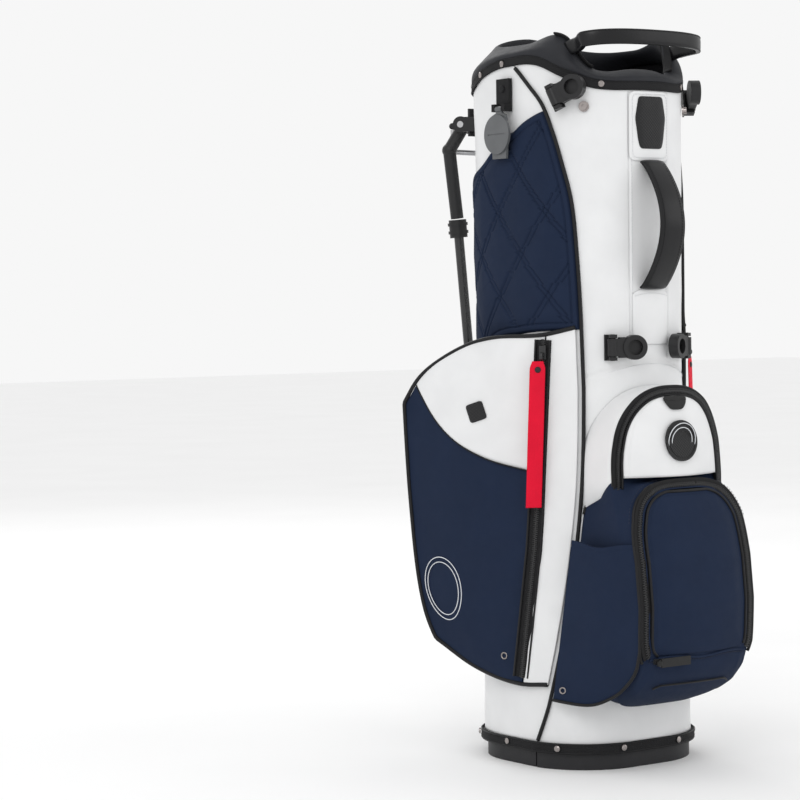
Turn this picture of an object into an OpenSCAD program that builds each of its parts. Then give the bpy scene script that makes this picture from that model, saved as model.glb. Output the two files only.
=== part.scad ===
// Golf stand bag. Millimetres, +Z up, origin at the centre of the base's underside.
// The front, with the handle and the ball pocket, faces -Y. The legs fold against the back, +Y.

/* [Tube] */
// Half width of the base over its soft skin
base_half = 115.5; // [108:0.5:122]
// Half width of the tube across X at its waist
waist_half = 101; // [95:0.5:108]
// Half width of the tube across X under the collar
top_half = 106; // [100:0.5:112]
// Depth from the axis to the front skin under the collar
top_front = 125; // [118:0.5:130]
// Depth from the axis to the back skin under the collar
top_back = 127; // [120:0.5:128]
// Thickness of the skin panels
skin_t = 2.8; // [2:0.1:4]

/* [Collar] */
// Height of the rim at the back
rim_back_z = 876; // [860:1:884]
// Height of the rim at the sides
rim_side_z = 858; // [848:1:866]
// Height of the scooped rim at the front
rim_front_z = 823; // [815:1:835]

/* [Pockets] */
// Half width of the ball pocket
ball_half = 88; // [80:1:90]
// Reach of the side pockets from the axis across X
side_reach = 167; // [155:1:172]
// Half width of the valuables pocket
valuables_half = 84; // [76:1:86]
// Thickness of the pocket walls
wall_t = 3; // [2.5:0.1:4]

/* [Stand] */
// Angle between each leg's hinge axis and the X axis
splay = 35; // [30:1:38]
// Radius of the leg tubes
leg_r = 6; // [5:0.5:6.5]
// Length of the crank that the yoke lifts
crank_r = 20; // [18:0.5:22]
// Radius of the lift rod
rod_r = 3; // [2.5:0.5:3]

/* [Fittings] */
// Radial clearance of every hinge pin in its bore
pin_gap = 0.05; // [0.02:0.01:0.1]
// Width of the ribbon pulls
ribbon_w = 18.5; // [14:0.5:26]
// Length of the ribbon pulls
ribbon_l = 172; // [120:1:176]

/* [Hidden] */
$fn = 48;

skin_z0 = 30;          // lower edge of the soft skin
waist_z = 450;
waist_depth = 124;     // depth of the tube to the front and to the back at the waist
skin_z1 = 800;         // height at which the top half widths hold
band_z0 = 19;          // underside of the trim band
base_r = 89;           // corner radius of the square base
pan_half = 111.5;      // half width of the toe and the rocker
hinge_y = -38;         // rocker hinge line
hinge_z = 10;
leg_pivot = [-66, 146, 772];
leg_knee = [-80, 159, 741];
leg_joint = [-68, 160, 655];
leg_end = [-22, 143, 34];
rod_y = 133;
yoke_z = 736;
white = [0.93, 0.94, 0.95];
navy = [0.13, 0.17, 0.28];
black = [0.07, 0.07, 0.08];
metal = [0.45, 0.42, 0.42];

// ---------- shape functions ----------

// Signed power, for superellipses
function spow(v, e) = sign(v) * pow(abs(v), e);
function mix(a, b, t) = a + (b - a) * t;
function unit(v) = v / norm(v);
function fold(u) = u > 180 ? 360 - u : abs(u);

// Tube section at height z: half width, depth, and roundness of its front or back half
function half_x(z) = lookup(z, [[skin_z0, base_half], [waist_z, waist_half], [skin_z1, top_half]]);
function depth(z, front) = lookup(z, [[skin_z0, base_half], [waist_z, waist_depth],
    [skin_z1, front ? top_front : top_back]]);
function power(z, front) = lookup(z, [[skin_z0, 2.7], [waist_z, front ? 2.45 : 3],
    [skin_z1, front ? 2.4 : 3.2]]);

// Point on the tube, u degrees round from the front towards +X, `out` outside the skin
function on_tube(u, z, out = 0) =
    let (front = cos(u) > 0, e = 2 / power(z, front))
    [(half_x(z) + out) * spow(sin(u), e), -(depth(z, front) + out) * spow(cos(u), e), z];

// Level outward normal of the tube
function tube_normal(u, z) =
    let (d = on_tube(u + 2, z) - on_tube(u - 2, z)) unit([d[1], -d[0], 0]);

// Point on the front of the tube at a given x
function on_front(x, z, out = 0) =
    let (p = power(z, true))
    [x, -(depth(z, true) + out) * pow(1 - pow(abs(x) / (half_x(z) + out), p), 1 / p), z];

// Angle of the side seam, and the heights of the collar's edges
function seam_u(z) = lookup(z, [[30, 75], [80, 66], [300, 47], [500, 46.5], [610, 49],
    [670, 52], [715, 58], [750, 63.5], [785, 71], [808, 80], [831, 89]]);
function collar_low(u) = lookup(fold(u), [[0, 797], [36, 799], [56, 813], [74, 829],
    [90, 831], [106, 822], [125, 809], [150, 803], [180, 802]]);
function collar_high(u) = lookup(fold(u), [[0, rim_front_z], [38, rim_front_z + 2],
    [48, 842], [57, 861], [90, rim_side_z], [120, rim_side_z + 3], [180, rim_back_z]]);

// ---------- solids from grids of points ----------

function quad(a, b, c, d) = [[a, b, c], [a, c, d]];
function vol6(p, f) = [for (t = f) p[t[0]] * cross(p[t[1]], p[t[2]])] * [for (t = f) 1];

// Closed triangle mesh, turned the right way out
module mesh(p, f) {
    polyhedron(p, vol6(p, f) < 0 ? f : [for (t = f) [t[0], t[2], t[1]]]);
}

// Solid through a list of rings; a wrapped skin closes on itself
module skin(rings, wrap = false) {
    n = len(rings[0]);
    m = len(rings);
    sides = [for (i = [0 : m - (wrap ? 1 : 2)], j = [0 : n - 1])
        let (k = (i + 1) % m, l = (j + 1) % n)
        each quad(i * n + j, i * n + l, k * n + l, k * n + j)];
    caps = wrap ? [] : [for (j = [1 : n - 2])
        each [[0, j + 1, j], [(m - 1) * n, (m - 1) * n + j, (m - 1) * n + j + 1]]];
    mesh([for (r = rings) each r], concat(sides, caps));
}

// Sheet solid between an outer and an inner grid of the same size
module slab(f, g) {
    nk = len(f);
    nj = len(f[0]);
    o = nk * nj;
    function id(k, j) = k * nj + j;
    faces = [for (k = [0 : nk - 2], j = [0 : nj - 2]) each concat(
        quad(id(k, j), id(k + 1, j), id(k + 1, j + 1), id(k, j + 1)),
        quad(o + id(k, j + 1), o + id(k + 1, j + 1), o + id(k + 1, j), o + id(k, j)))];
    ends = [for (k = [0 : nk - 2]) each concat(
        quad(id(k + 1, 0), id(k, 0), o + id(k, 0), o + id(k + 1, 0)),
        quad(id(k, nj - 1), id(k + 1, nj - 1), o + id(k + 1, nj - 1), o + id(k, nj - 1)))];
    sides = [for (j = [0 : nj - 2]) each concat(
        quad(id(0, j), id(0, j + 1), o + id(0, j + 1), o + id(0, j)),
        quad(id(nk - 1, j + 1), id(nk - 1, j), o + id(nk - 1, j), o + id(nk - 1, j + 1)))];
    mesh(concat([for (c = f) each c], [for (c = g) each c]), concat(faces, ends, sides));
}

// Round bar from p to q
module bar(p, q, r) {
    d = q - p;
    translate(p) rotate([0, acos(d[2] / norm(d)), atan2(d[1], d[0])]) cylinder(h = norm(d), r = r);
}

// Square with round corners, as the base is
module base_square(half) {
    flat = half - base_r + 2.5;
    square([2 * half, 2 * flat], center = true);
    square([2 * flat, 2 * half], center = true);
    for (x = [-1, 1], y = [-1, 1]) translate([x * flat, y * flat]) circle(half - flat, $fn = 96);
}

module left_and_right() {
    children();
    mirror([1, 0, 0]) children();
}

// Domed rivet head whose axis points along n
module rivet(p, n, r = 3.6, t = 2) {
    translate(p) rotate([0, acos(n[2]), atan2(n[1], n[0])]) {
        cylinder(h = t - 0.6, r = r);
        translate([0, 0, t - 0.6]) cylinder(h = 0.8, r1 = r, r2 = r - 1.4);
    }
}

// ---------- base ----------

module base_shell() color(black) {
    difference() {
        translate([0, 0, band_z0]) linear_extrude(skin_z0 - band_z0) base_square(115);
        translate([0, 0, band_z0 - 1]) linear_extrude(skin_z0) base_square(112.3);
    }
    difference() {
        linear_extrude(band_z0) base_square(112.6);
        translate([0, 0, 3]) linear_extrude(band_z0) base_square(109);
        translate([-130, hinge_y - 1.5, -1]) cube([260, 200, 40]);
    }
    for (x = [-92, 62]) hinge_knuckle(x, 30, -8);
}

// Knuckle of the rocker hinge, its web running to one side
module hinge_knuckle(x, w, web) {
    difference() {
        translate([x, hinge_y, hinge_z]) union() {
            rotate([0, 90, 0]) cylinder(h = w, r = 6);
            translate([0, web < 0 ? web : 0, -hinge_z]) cube([w, abs(web), hinge_z + 3]);
        }
        translate([x - 1, hinge_y, hinge_z]) rotate([0, 90, 0]) cylinder(h = w + 2, r = 3 + pin_gap);
    }
}

module base_trim_band() color(black) difference() {
    translate([0, 0, band_z0]) linear_extrude(13) base_square(118);
    translate([0, 0, band_z0 - 1]) linear_extrude(15) base_square(115.7);
}

module base_rivets() color(metal)
    for (u = [20, 56, 94, 132, 160]) left_and_right()
        let (e = base_edge(u)) rivet([e[0], e[1], 26], e[2]);

// Point on the trim band's outside at angle a from the front, and its normal
function base_edge(a) =
    let (flat = 118 - base_r + 2.5, r = 118 - flat, sx = 1, sy = a < 90 ? -1 : 1,
        q = a < 90 ? a : 180 - a)
    q < atan2(flat, 118) ? [118 * tan(q), sy * 118, [0, sy, 0]]
    : q > 90 - atan2(flat, 118) ? [118, sy * 118 / tan(q), [1, 0, 0]]
    : let (c = (q - atan2(flat, 118)) / (90 - 2 * atan2(flat, 118)) * 90)
        [flat + r * sin(c), sy * (flat + r * cos(c)), [sin(c), sy * cos(c), 0]];

module rocker_pin() color(metal)
    translate([-92, hinge_y, hinge_z]) rotate([0, 90, 0]) cylinder(h = 184, r = 3);

module base_rocker() color(black) {
    difference() {
        linear_extrude(band_z0 - 1) base_square(pan_half);
        translate([0, 0, 3]) linear_extrude(band_z0) base_square(pan_half - 3);
        translate([-130, hinge_y + 1.5 - 200, -1]) cube([260, 200, 40]);
        for (x = [-93, 61]) translate([x, hinge_y - 9, -1]) cube([32, 18, 40]);
    }
    for (x = [-58, 28]) hinge_knuckle(x, 30, 12);
    translate([-8, pan_half - 3, 0]) cube([16, rod_y + 6 - pan_half + 3, hinge_z]);
}

// ---------- tube ----------

// Side seam at a share of its height, from the base to the collar
seam_rows = 12;
function seam_at(t) = seam_u(mix(skin_z0, collar_low(seam_u(829)), t));

module front_panel() {
    cols = 16;
    rows = seam_rows;
    function at(k, j, out) =
        let (s = 2 * k / cols - 1, top = collar_low(s * seam_at(1)) - 0.5)
        on_tube(s * (seam_at(j / rows) - 0.4), mix(skin_z0, top, j / rows), out);
    color(white) slab([for (k = [0 : cols]) [for (j = [0 : rows]) at(k, j, 0)]],
         [for (k = [0 : cols]) [for (j = [0 : rows]) at(k, j, -skin_t)]]);
}

module rear_panel() {
    cols = 30;
    rows = seam_rows;
    function at(k, j, out) =
        let (s = k / cols, top = collar_low(mix(seam_at(1), 360 - seam_at(1), s)) - 0.5,
            u0 = seam_at(j / rows) + 0.4)
        on_tube(mix(u0, 360 - u0, s), mix(skin_z0, top, j / rows), out);
    color(white) slab([for (k = [0 : cols]) [for (j = [0 : rows]) at(k, j, 0)]],
         [for (k = [0 : cols]) [for (j = [0 : rows]) at(k, j, -skin_t)]]);
}

// Padded and quilted side panel
module quilted_panel_right() {
    cols = 12;
    rows = 10;
    function high(u) = lookup(u, [[64, 776], [72, 772], [84, 762], [91, 752], [98, 739],
        [110, 720], [127, 706], [140, 690]]);
    function low(u) = lookup(u, [[48, 530], [100, 519], [112, 504], [124, 487], [134, 469], [140, 457]]);
    function at(k, j, lift) =
        let (s = k / cols, u1 = mix(66, 138, s), u2 = mix(50, 138, s),
            z = mix(low(u2), high(u1), j / rows), a = seam_u(z) + 3,
            crown = pow(sin(180 * s) * sin(180 * j / rows), 0.4))
        on_tube(mix(a, 138, s), z, lift == 0 ? 0.4 : 3 + 3.5 * crown);
    color(navy) slab([for (k = [0 : cols]) [for (j = [0 : rows]) at(k, j, 1)]],
         [for (k = [0 : cols]) [for (j = [0 : rows]) at(k, j, 0)]]);
}

module quilted_panel_left() mirror([1, 0, 0]) quilted_panel_right();

// Piping cord laid along both side seams, down to the side pockets
module seam_piping() color(black) left_and_right()
    skin([for (i = [0 : 14])
        let (z = mix(526, 828, i / 14), p = on_tube(seam_u(z), z, 2.4), n = unit([p[0], p[1], 0]),
            t = [-n[1], n[0], 0])
        [for (a = [0 : 60 : 300]) p + 2 * (cos(a) * n + sin(a) * t)]]);

// ---------- collar ----------

// Rigid moulded skirt with a textured face
module collar_frame() color(black)
    skin([for (u = [0 : 5 : 355])
        let (lo = collar_low(u) + 0.6)
        [for (q = [[0.4, 0], [1.2, 3], [1.2, 9.4], [-3.6, 9.4], [-3.6, 0]])
            let (p = on_tube(u, skin_z1, q[0])) [p[0], p[1], lo + q[1]]]], wrap = true);

// Foam rim rolled over the frame
module collar_padding() color(black)
    skin([for (u = [0 : 5 : 355])
        let (lo = collar_low(u) + 10.4, hi = collar_high(u), back = (1 - cos(u)) / 2)
        [for (q = [[0.6, 0, 0], [1.2, 0.35, 0.15], [-1, 0.75, 0.6], [-5, 0.96, 0.9], [-9, 1, 1],
                [-12.5, 0.93, 1], [-13.5, 0.6, 0.7], [-7, 0, 0]])
            let (p = on_tube(u, skin_z1, q[0] - q[2] * (4 + 14 * back)))
            [p[0], p[1], mix(lo, hi, q[1])]]], wrap = true);

module collar_rivets() color(metal)
    for (u = [31, 92, 108, 150]) left_and_right()
        let (p = on_tube(u, skin_z1, 1.5)) rivet([p[0], p[1], collar_low(u) + 5.2], tube_normal(u, skin_z1));

module divider_grid() color(black) {
    z0 = 784;
    t = 12;
    skin([for (u = [0 : 5 : 355])
        [for (q = [[-7.4, 0], [-7.4, 1], [-12, 1], [-12, 0]])
            let (p = on_tube(u, skin_z1, q[0])) [p[0], p[1], z0 + q[1] * t]]], wrap = true);
    for (y = [-42, 34]) translate([-94, y, z0]) cube([188, 8, t]);
    translate([-4, -40, z0]) cube([8, 159, t]);
}

// Full length fabric dividers below the grid
module divider_sheets() color(black) {
    for (y = [-39, 37]) translate([-91, y, 46]) cube([182, 2, 737.6]);
    translate([-1, -36.6, 46]) cube([2, 73.2, 737.6]);
    translate([-1, 39.4, 46]) cube([2, 70, 737.6]);
}

// Glass fibre stays that stand just inside the skin
module stay_rods() color(metal)
    for (p = [[60, -95], [69, 94]]) left_and_right()
        translate([p[0], p[1], 42]) cylinder(h = 741.6, r = 3.5);

// Rigid carry handle that bridges the front of the collar
module top_handle() color(black) {
    ends = 93;
    skin([for (i = [0 : 18])
        let (a = mix(-90, 90, i / 18), s = sin(a), c = cos(a),
            x = ends * spow(s, 0.8), y = -78.5 - 59.5 * pow(c, 0.55), z = 847.5 + 10.5 * pow(c, 0.4),
            n = unit([s, -0.35 - c, 0]))
        [for (q = [[-3.5, -9], [3.5, -9], [4.5, 0], [3, 9], [-3, 9]])
            [x + n[0] * q[0], y + n[1] * q[0], z + q[1]]]]);
}

// ---------- front face ----------

// Sheet following the tube's front, half width given by height
module front_sheet(z0, z1, half, inner, outer, cols = 6, rows = 6) {
    function at(k, j, out) = let (z = mix(z0, z1, j / rows), w = lookup(z, half))
        on_front(mix(-w, w, k / cols), z, out);
    slab([for (k = [0 : cols]) [for (j = [0 : rows]) at(k, j, outer)]],
         [for (k = [0 : cols]) [for (j = [0 : rows]) at(k, j, inner)]]);
}

module patch_frame() color(white)
    front_sheet(715, 796, [[715, 26], [722, 30], [796, 30]], 0.3, 4);

module name_patch() color(black)
    front_sheet(729, 790, [[729, 16], [732, 18], [765, 23], [787, 18], [790, 16]], 4.1, 6.4);

module handle_anchor() color(white)
    front_sheet(500, 565, [[500, 27], [558, 27], [565, 23]], 0.3, 4);

// Padded leather grip standing off the front panel
module spine_handle() color(black)
    skin([for (i = [0 : 16])
        let (t = i / 16, z = mix(713.5, 566.5, t), w = mix(17, 19, t),
            y = on_front(0, z, 3.4)[1] - 36 * pow(sin(180 * t), 0.8),
            tilt = 26 * cos(180 * t), d = [0, cos(tilt), -sin(tilt)])
        [for (q = [[-w, 0], [-w + 3, -2.8], [w - 3, -2.8], [w, 0], [w - 3, 2.8], [3 - w, 2.8]])
            [q[0], y + q[1] * d[1], z + q[1] * d[2]]]]);

// Snap studs for the rain hood
module strap_studs() color(metal) left_and_right()
    let (u = 42.5, z = 778, n = tube_normal(u, z))
    translate(on_tube(u, z, 0.4)) rotate([0, 90, atan2(n[1], n[0])]) difference() {
        union() {
            cylinder(h = 2, r = 6.2);
            cylinder(h = 5.5, r = 4.2);
        }
        translate([0, 0, 3]) cylinder(h = 4, r = 2.2);
    }

// ---------- strap clips ----------

socket_r = 9;
socket_x = 26;         // from the hinge bar to the socket's axis
clip_low = [-57.6, -122.1, 497];
clip_high = [-106.6, -78.6, 789.5];
clip_low_turn = [0, 0, -25];
clip_high_turn = [0, -24, -59.5];

// Clip in its own frame: hinge bar on Z, socket towards +X, outer face towards -Y
module strap_clip() color(black) difference() {
    union() {
        cylinder(h = 20, r = 6, center = true);
        translate([3, -4.5, -12]) cube([socket_x - 3, 9, 24]);
        translate([socket_x, 0, 0]) rotate([90, 0, 0]) cylinder(h = 12, r = 14.5, center = true);
    }
    cylinder(h = 60, r = 2.6 + pin_gap, center = true);
    for (s = [-1, 1]) translate([-1, -8, s > 0 ? 10.4 : -15.4]) cube([8.5, 16, 5]);
    translate([socket_x, 1, 0]) rotate([90, 0, 0]) cylinder(h = 20, r = socket_r);
}

// Bar and lugs that carry one clip
module clip_anchor() color(black) {
    cylinder(h = 31, r = 2.6, center = true);
    for (s = [-1, 1]) translate([-4.5, -4, s > 0 ? 11.2 : -15.2]) cube([9, 13, 4]);
    translate([-8, 7.4, -15.2]) cube([14, 1.8, 30.4]);
}

module clip_anchors() left_and_right() {
    translate(clip_low) rotate(clip_low_turn) clip_anchor();
    translate(clip_high) rotate(clip_high_turn) clip_anchor();
}

module strap_clip_lower_left() translate(clip_low) rotate(clip_low_turn) strap_clip();
module strap_clip_lower_right() mirror([1, 0, 0]) strap_clip_lower_left();
module strap_clip_upper_left() translate(clip_high) rotate(clip_high_turn) strap_clip();
module strap_clip_upper_right() mirror([1, 0, 0]) strap_clip_upper_left();

// ---------- side pockets ----------

zip_top = [108, -58, 512];
zip_low = [118, -36, 95];
function zip_at(z) = mix(zip_low, zip_top, (z - zip_low[2]) / (zip_top[2] - zip_low[2]));

// Rear outer edge of the side pocket at height z, and its upper and lower outline
function side_edge(z) = [
    lookup(z, [[96, 128], [125, 141], [150, 147], [200, 152], [300, side_reach - 7],
        [430, side_reach], [462, side_reach + 2], [485, 162], [505, 152], [521, 142]]),
    lookup(z, [[96, 88], [125, 105], [150, 125], [200, 135], [300, 140], [430, 142], [521, 142]])];
function side_high(s) = lookup(s, [[0, 521], [0.2, 513], [0.6, 505], [0.78, 485], [0.9, 462], [1, 430]]);
function side_low(s) = lookup(s, [[0, 100], [0.2, 98], [0.6, 106], [0.8, 118], [1, 142]]);

// Point on the outer face, s from the seam to the rear edge, t from bottom to top
function on_side(s, t, out = 0) =
    let (z = mix(side_low(s), side_high(s), t), zip = zip_at(z), edge = side_edge(z),
        seam = on_tube(seam_u(z) + 4, z, 3.5), q = max(0, (s - 0.2) / 0.8),
        full = 9 * sin(180 * q) * pow(sin(180 * t), 0.5))
    s < 0.2 ? [mix(seam[0], zip[0], s / 0.2) + out * 0.8, mix(seam[1], zip[1], s / 0.2) - out * 0.6, z]
    : [mix(zip[0], edge[0], q) + full + out * 0.93, mix(zip[1], edge[1], q) - out * 0.36, z];

module side_pocket_right() color(navy) {
    shares = [0, 0.1, 0.2, 0.3, 0.4, 0.5, 0.6, 0.7, 0.78, 0.85, 0.9, 0.95, 1];
    rows = 10;
    slab([for (s = shares) [for (j = [0 : rows]) on_side(s, j / rows)]],
         [for (s = shares) [for (j = [0 : rows])
            let (z = mix(side_low(s), side_high(s), j / rows))
            on_tube(mix(seam_u(z) + 4, 142, s), z, 1 + 1.4 * pow(sin(180 * s), 0.5))]]);
}

module side_pocket_left() mirror([1, 0, 0]) side_pocket_right();

// Coil zips let into the front of each side pocket
module side_zippers() {
    rows = 8;
    shares = [0.16, 0.2, 0.235];
    function at(s, j, out) = on_side(s, mix(0.03, 0.98, j / rows), out);
    color(black) left_and_right()
        slab([for (s = shares) [for (j = [0 : rows]) at(s, j, 1.5)]],
             [for (s = shares) [for (j = [0 : rows]) at(s, j, 0.4)]]);
}

slider_z = 492;

module side_slider_right() color(black) {
    p = zip_at(slider_z);
    translate(p) rotate([0, 0, atan2(-0.6, 0.8)]) {
        translate([2.6, -4, -8]) cube([3.5, 8, 16]);
        translate([4, 0, -3.2]) rotate([90, 0, 0]) translate([4.6, -1, 0]) difference() {
            cylinder(h = 3, r = 4.6, center = true);
            cylinder(h = 4, r = 2.6, center = true);
        }
    }
}

module side_slider_left() mirror([1, 0, 0]) side_slider_right();

ribbon_top = [120, -60, 482];

module ribbon_right() color([0.86, 0.08, 0.22])
    translate(ribbon_top) rotate([0, 0, 35]) {
        translate([-ribbon_w / 2, -0.8, -ribbon_l]) cube([ribbon_w, 1.6, ribbon_l]);
        translate([0, -0.6, -10]) rotate([90, 0, 0]) cylinder(h = 1.4, r = 3.6);
    }

module ribbon_left() mirror([1, 0, 0]) ribbon_right();

// ---------- valuables pocket ----------

val_z = 346;
val_top = 452;

// Depth of the pocket's front face
function val_y(x, z) = -(lookup(z, [[340, 174], [386, 171], [430, 164], [val_top, 157]])
    - 26 * pow(abs(x) / valuables_half, 2.2));
// Point of the arch at angle a, inset from the outline
function val_arch(a, inset) = [(valuables_half - inset) * -spow(cos(a), 0.8),
    val_z + (val_top - val_z - inset) * spow(sin(a), 0.8)];

module valuables_pocket() color(white)
    skin([for (i = [0 : 26])
        let (a = min(180, max(0, 7.5 * (i - 1))), o = val_arch(a, 0), q = val_arch(a, 10),
            w = val_arch(a, wall_t), back = on_front(o[0], o[1], 0.8), inner = on_front(w[0], w[1], 0.8),
            y = val_y(o[0], o[1]), c = val_arch(a, 3), drop = [0, 0, i == 0 || i == 26 ? -11 : 0])
        [for (v = [[o[0], back[1], o[1]], [o[0], y + 5, o[1]], [c[0], y, c[1]],
                [q[0], val_y(q[0], q[1]) + 0.5, q[1]], [q[0], val_y(q[0], q[1]) + 3, q[1]],
                [w[0], y + 8, w[1]], [w[0], inner[1], w[1]]]) v + drop]]);

// Domed door of the valuables pocket
module valuables_door() {
    cols = 10;
    rows = 10;
    function at(k, j, out) =
        let (a = mix(0, 84, j / rows), p = val_arch(a, 12.4), s = 2 * k / cols - 1,
            z = p[1] + 1.5, x = -s * p[0], y = val_y(x, z) - 3 * cos(90 * s) * cos(a))
        [x, y + out, z];
    color(white) slab([for (k = [0 : cols]) [for (j = [0 : rows]) at(k, j, 0)]],
         [for (k = [0 : cols]) [for (j = [0 : rows]) at(k, j, 3.5)]]);
}

module emblem_patch() color(black)
    translate([0, val_y(0, 388) - 4.6, 388]) rotate([84, 0, 0]) difference() {
        cylinder(h = 2.4, r = 24, center = true);
        translate([0, 0, 0.7]) difference() {
            cylinder(h = 2, r = 21);
            cylinder(h = 3, r = 19.5, center = true);
        }
    }

// ---------- ball pocket ----------

ball_low = 76;
ball_high = 343;
door_low = 144;
door_high = 332;
door_mid = 246;        // height where the door's sides start to arch
door_half = 73;

// Depth of the pocket's front face
function ball_y(x, z) = -(lookup(z, [[76, 152], [100, 187], [120, 202], [150, 210], [200, 212],
    [250, 207], [300, 196], [330, 184], [343, 172]]) - 13 * pow(abs(x) / ball_half, 2.2));
// Outline of the pocket and of its door at angle a from +X
function ball_ring(a, grow) = [(ball_half - grow) * spow(cos(a), 0.42),
    mix(ball_low, ball_high, 0.5)
    + ((ball_high - ball_low) / 2 - grow) * spow(sin(a), a < 180 ? 0.26 : 0.42)];
function door_ring(a, grow) = [(door_half - grow) * spow(cos(a), a < 180 ? 0.6 : 0.18),
    a < 180 ? door_mid + (door_high - door_mid - grow) * spow(sin(a), 0.6)
    : door_mid - (door_mid - door_low - grow) * pow(-sin(a), 0.2)];

module ball_pocket() color(navy)
    skin([for (a = [0 : 7.5 : 352.5])
        let (o = ball_ring(a, 0), w = ball_ring(a, wall_t), d = door_ring(a, -2.4),
            b = [o[0] * 0.86, w[0] * 0.86], back = on_front(b[0], o[1], 2)[1], y = ball_y(o[0], o[1]))
        [[b[0], back, o[1]], [o[0], y + 16, o[1]],
         [mix(o[0], d[0], 0.2), ball_y(o[0], mix(o[1], d[1], 0.2)) + 3, mix(o[1], d[1], 0.2)],
         [d[0], ball_y(d[0], d[1]), d[1]], [d[0], ball_y(d[0], d[1]) + wall_t, d[1]],
         [mix(w[0], d[0], 0.2), ball_y(o[0], mix(o[1], d[1], 0.2)) + 7, mix(w[1], d[1], 0.2)],
         [w[0], y + 19, w[1]], [b[1], back, w[1]]]], wrap = true);

// Domed door, hinged along its lower edge
module ball_door() {
    cols = 12;
    rows = 12;
    function at(k, j, out) =
        let (z = mix(door_low + 1, door_high - 1.5, 1 - pow(1 - j / rows, 1.6)), s = 2 * k / cols - 1,
            h = z < door_mid ? lookup(z, [[door_low, 0.85], [door_low + 4, 0.93], [door_low + 12, 0.985],
                [door_low + 24, 1]])
                : pow(1 - pow((z - door_mid) / (door_high - door_mid), 3.33), 1 / 3.33),
            x = s * (door_half - 0.5) * h)
        [x, ball_y(x, z) - 1.5 * cos(90 * s) + out, z];
    color(navy) slab([for (k = [0 : cols]) [for (j = [0 : rows]) at(k, j, 0)]],
         [for (k = [0 : cols]) [for (j = [0 : rows]) at(k, j, wall_t)]]);
}

slider_x = -66;
slider_y = ball_y(slider_x, door_low - 4);

module ball_slider() color(black) translate([slider_x, slider_y, door_low - 4]) {
    translate([-5, -5.4, -4]) cube([14, 3, 6]);
    translate([-1, -9, -2.6]) cylinder(h = 7, r = 1.6, center = true);
    for (z = [-6.1, 0.1]) translate([-2.4, -9.6, z]) cube([2.8, 5, 0.8]);
}

// Rectangular pull tab lying across the lower lip
module ball_pull() color(black) translate([slider_x, slider_y, door_low - 4]) difference() {
    union() {
        translate([-1, -9, -2.6]) cylinder(h = 4.8, r = 3.2, center = true);
        translate([1, -10.6, -7.6]) cube([44, 2.6, 10]);
    }
    translate([-1, -9, -2.6]) cylinder(h = 20, r = 1.6 + pin_gap, center = true);
}

// ---------- sleeve pockets ----------

sleeve_low = 84;

// Open sleeve between the ball pocket's front edge and the tube
module sleeve_pocket_right() {
    cols = 8;
    floor_z = 108;
    rows = 6;
    function front(z) = [ball_half + 3.4, ball_y(ball_half, z) + 12];
    function rear(z) = [lookup(z, [[80, 113], [272, 105]]), lookup(z, [[80, -72], [272, -100]])];
    function at(k, j, out) =
        let (s = k / cols, z = mix(mix(104, sleeve_low, s), 273 - 4 * sin(180 * s), j / rows),
            f = front(z), r = rear(z), full = 5 * sin(180 * s))
        [mix(f[0], r[0], s) + full - out, mix(f[1], r[1], s), z];
    color(navy) {
        slab([for (k = [0 : cols]) [for (j = [0 : rows]) at(k, j, 0)]],
             [for (k = [0 : cols]) [for (j = [0 : rows]) at(k, j, 2.5)]]);
        translate([0, 0, floor_z]) linear_extrude(2.5)
            polygon([[87.5, -160], [90, -163], [101, -122], [107, -88], [88, -100]]);
    }
}

module sleeve_pocket_left() mirror([1, 0, 0]) sleeve_pocket_right();

// ---------- towel tags ----------

tag_x = 116.5;
tag_y = 11;
tag_z = 781;

module tag_loops() left_and_right() {
    color(black) {
        translate([top_half + 0.6, tag_y - 12, tag_z + 5]) cube([5, 24, 31]);
        for (y = [-12, 6]) translate([top_half + 0.6, tag_y + y, tag_z - 3]) cube([12.5, 6, 9]);
        translate([tag_x - 0.5, tag_y - 9, tag_z]) rotate([-90, 0, 0]) cylinder(h = 18, r = 1.6);
    }
    color(metal) rivet([top_half + 5.6, tag_y, tag_z + 24], [1, 0, 0], 4.5, 2);
}

// Tapered plate with a round holder, hung on the loop's pin
module tag_right() color([0.32, 0.33, 0.35]) difference() {
    union() {
        translate([tag_x - 0.5, tag_y - 5.6, tag_z]) rotate([-90, 0, 0]) cylinder(h = 11.2, r = 3.4);
        translate([tag_x - 2, tag_y, tag_z]) rotate([90, 0, 90]) linear_extrude(3)
            polygon([[-5.6, -1], [5.6, -1], [5.6, -4.8], [13, -7.5], [15, -30], [13, -59],
                [-13, -59], [-15, -30], [-13, -7.5], [-5.6, -4.8]]);
        translate([tag_x + 0.5, tag_y + 2, tag_z - 30]) rotate([0, 90, 0]) cylinder(h = 3.2, r = 23.5);
    }
    translate([tag_x - 0.5, tag_y - 20, tag_z]) rotate([-90, 0, 0]) cylinder(h = 40, r = 1.6 + pin_gap);
    translate([tag_x + 3, tag_y - 14, tag_z - 30.8]) cube([2, 32, 1.6]);
}

module tag_left() mirror([1, 0, 0]) tag_right();

// ---------- stand ----------

// Children drawn in the left leg's hinge frame: hinge along X, outward along Y
module at_left_pivot() translate(leg_pivot) rotate([0, 0, splay]) children();

function to_pivot(p) = let (d = p - leg_pivot)
    [d[0] * cos(splay) + d[1] * sin(splay), -d[0] * sin(splay) + d[1] * cos(splay), d[2]];

module leg_ear(x, w, reach) {
    translate([x, 0, 0]) rotate([0, 90, 0]) cylinder(h = w, r = 10);
    translate([x, -reach, -9]) cube([w, reach, 18]);
}

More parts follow.
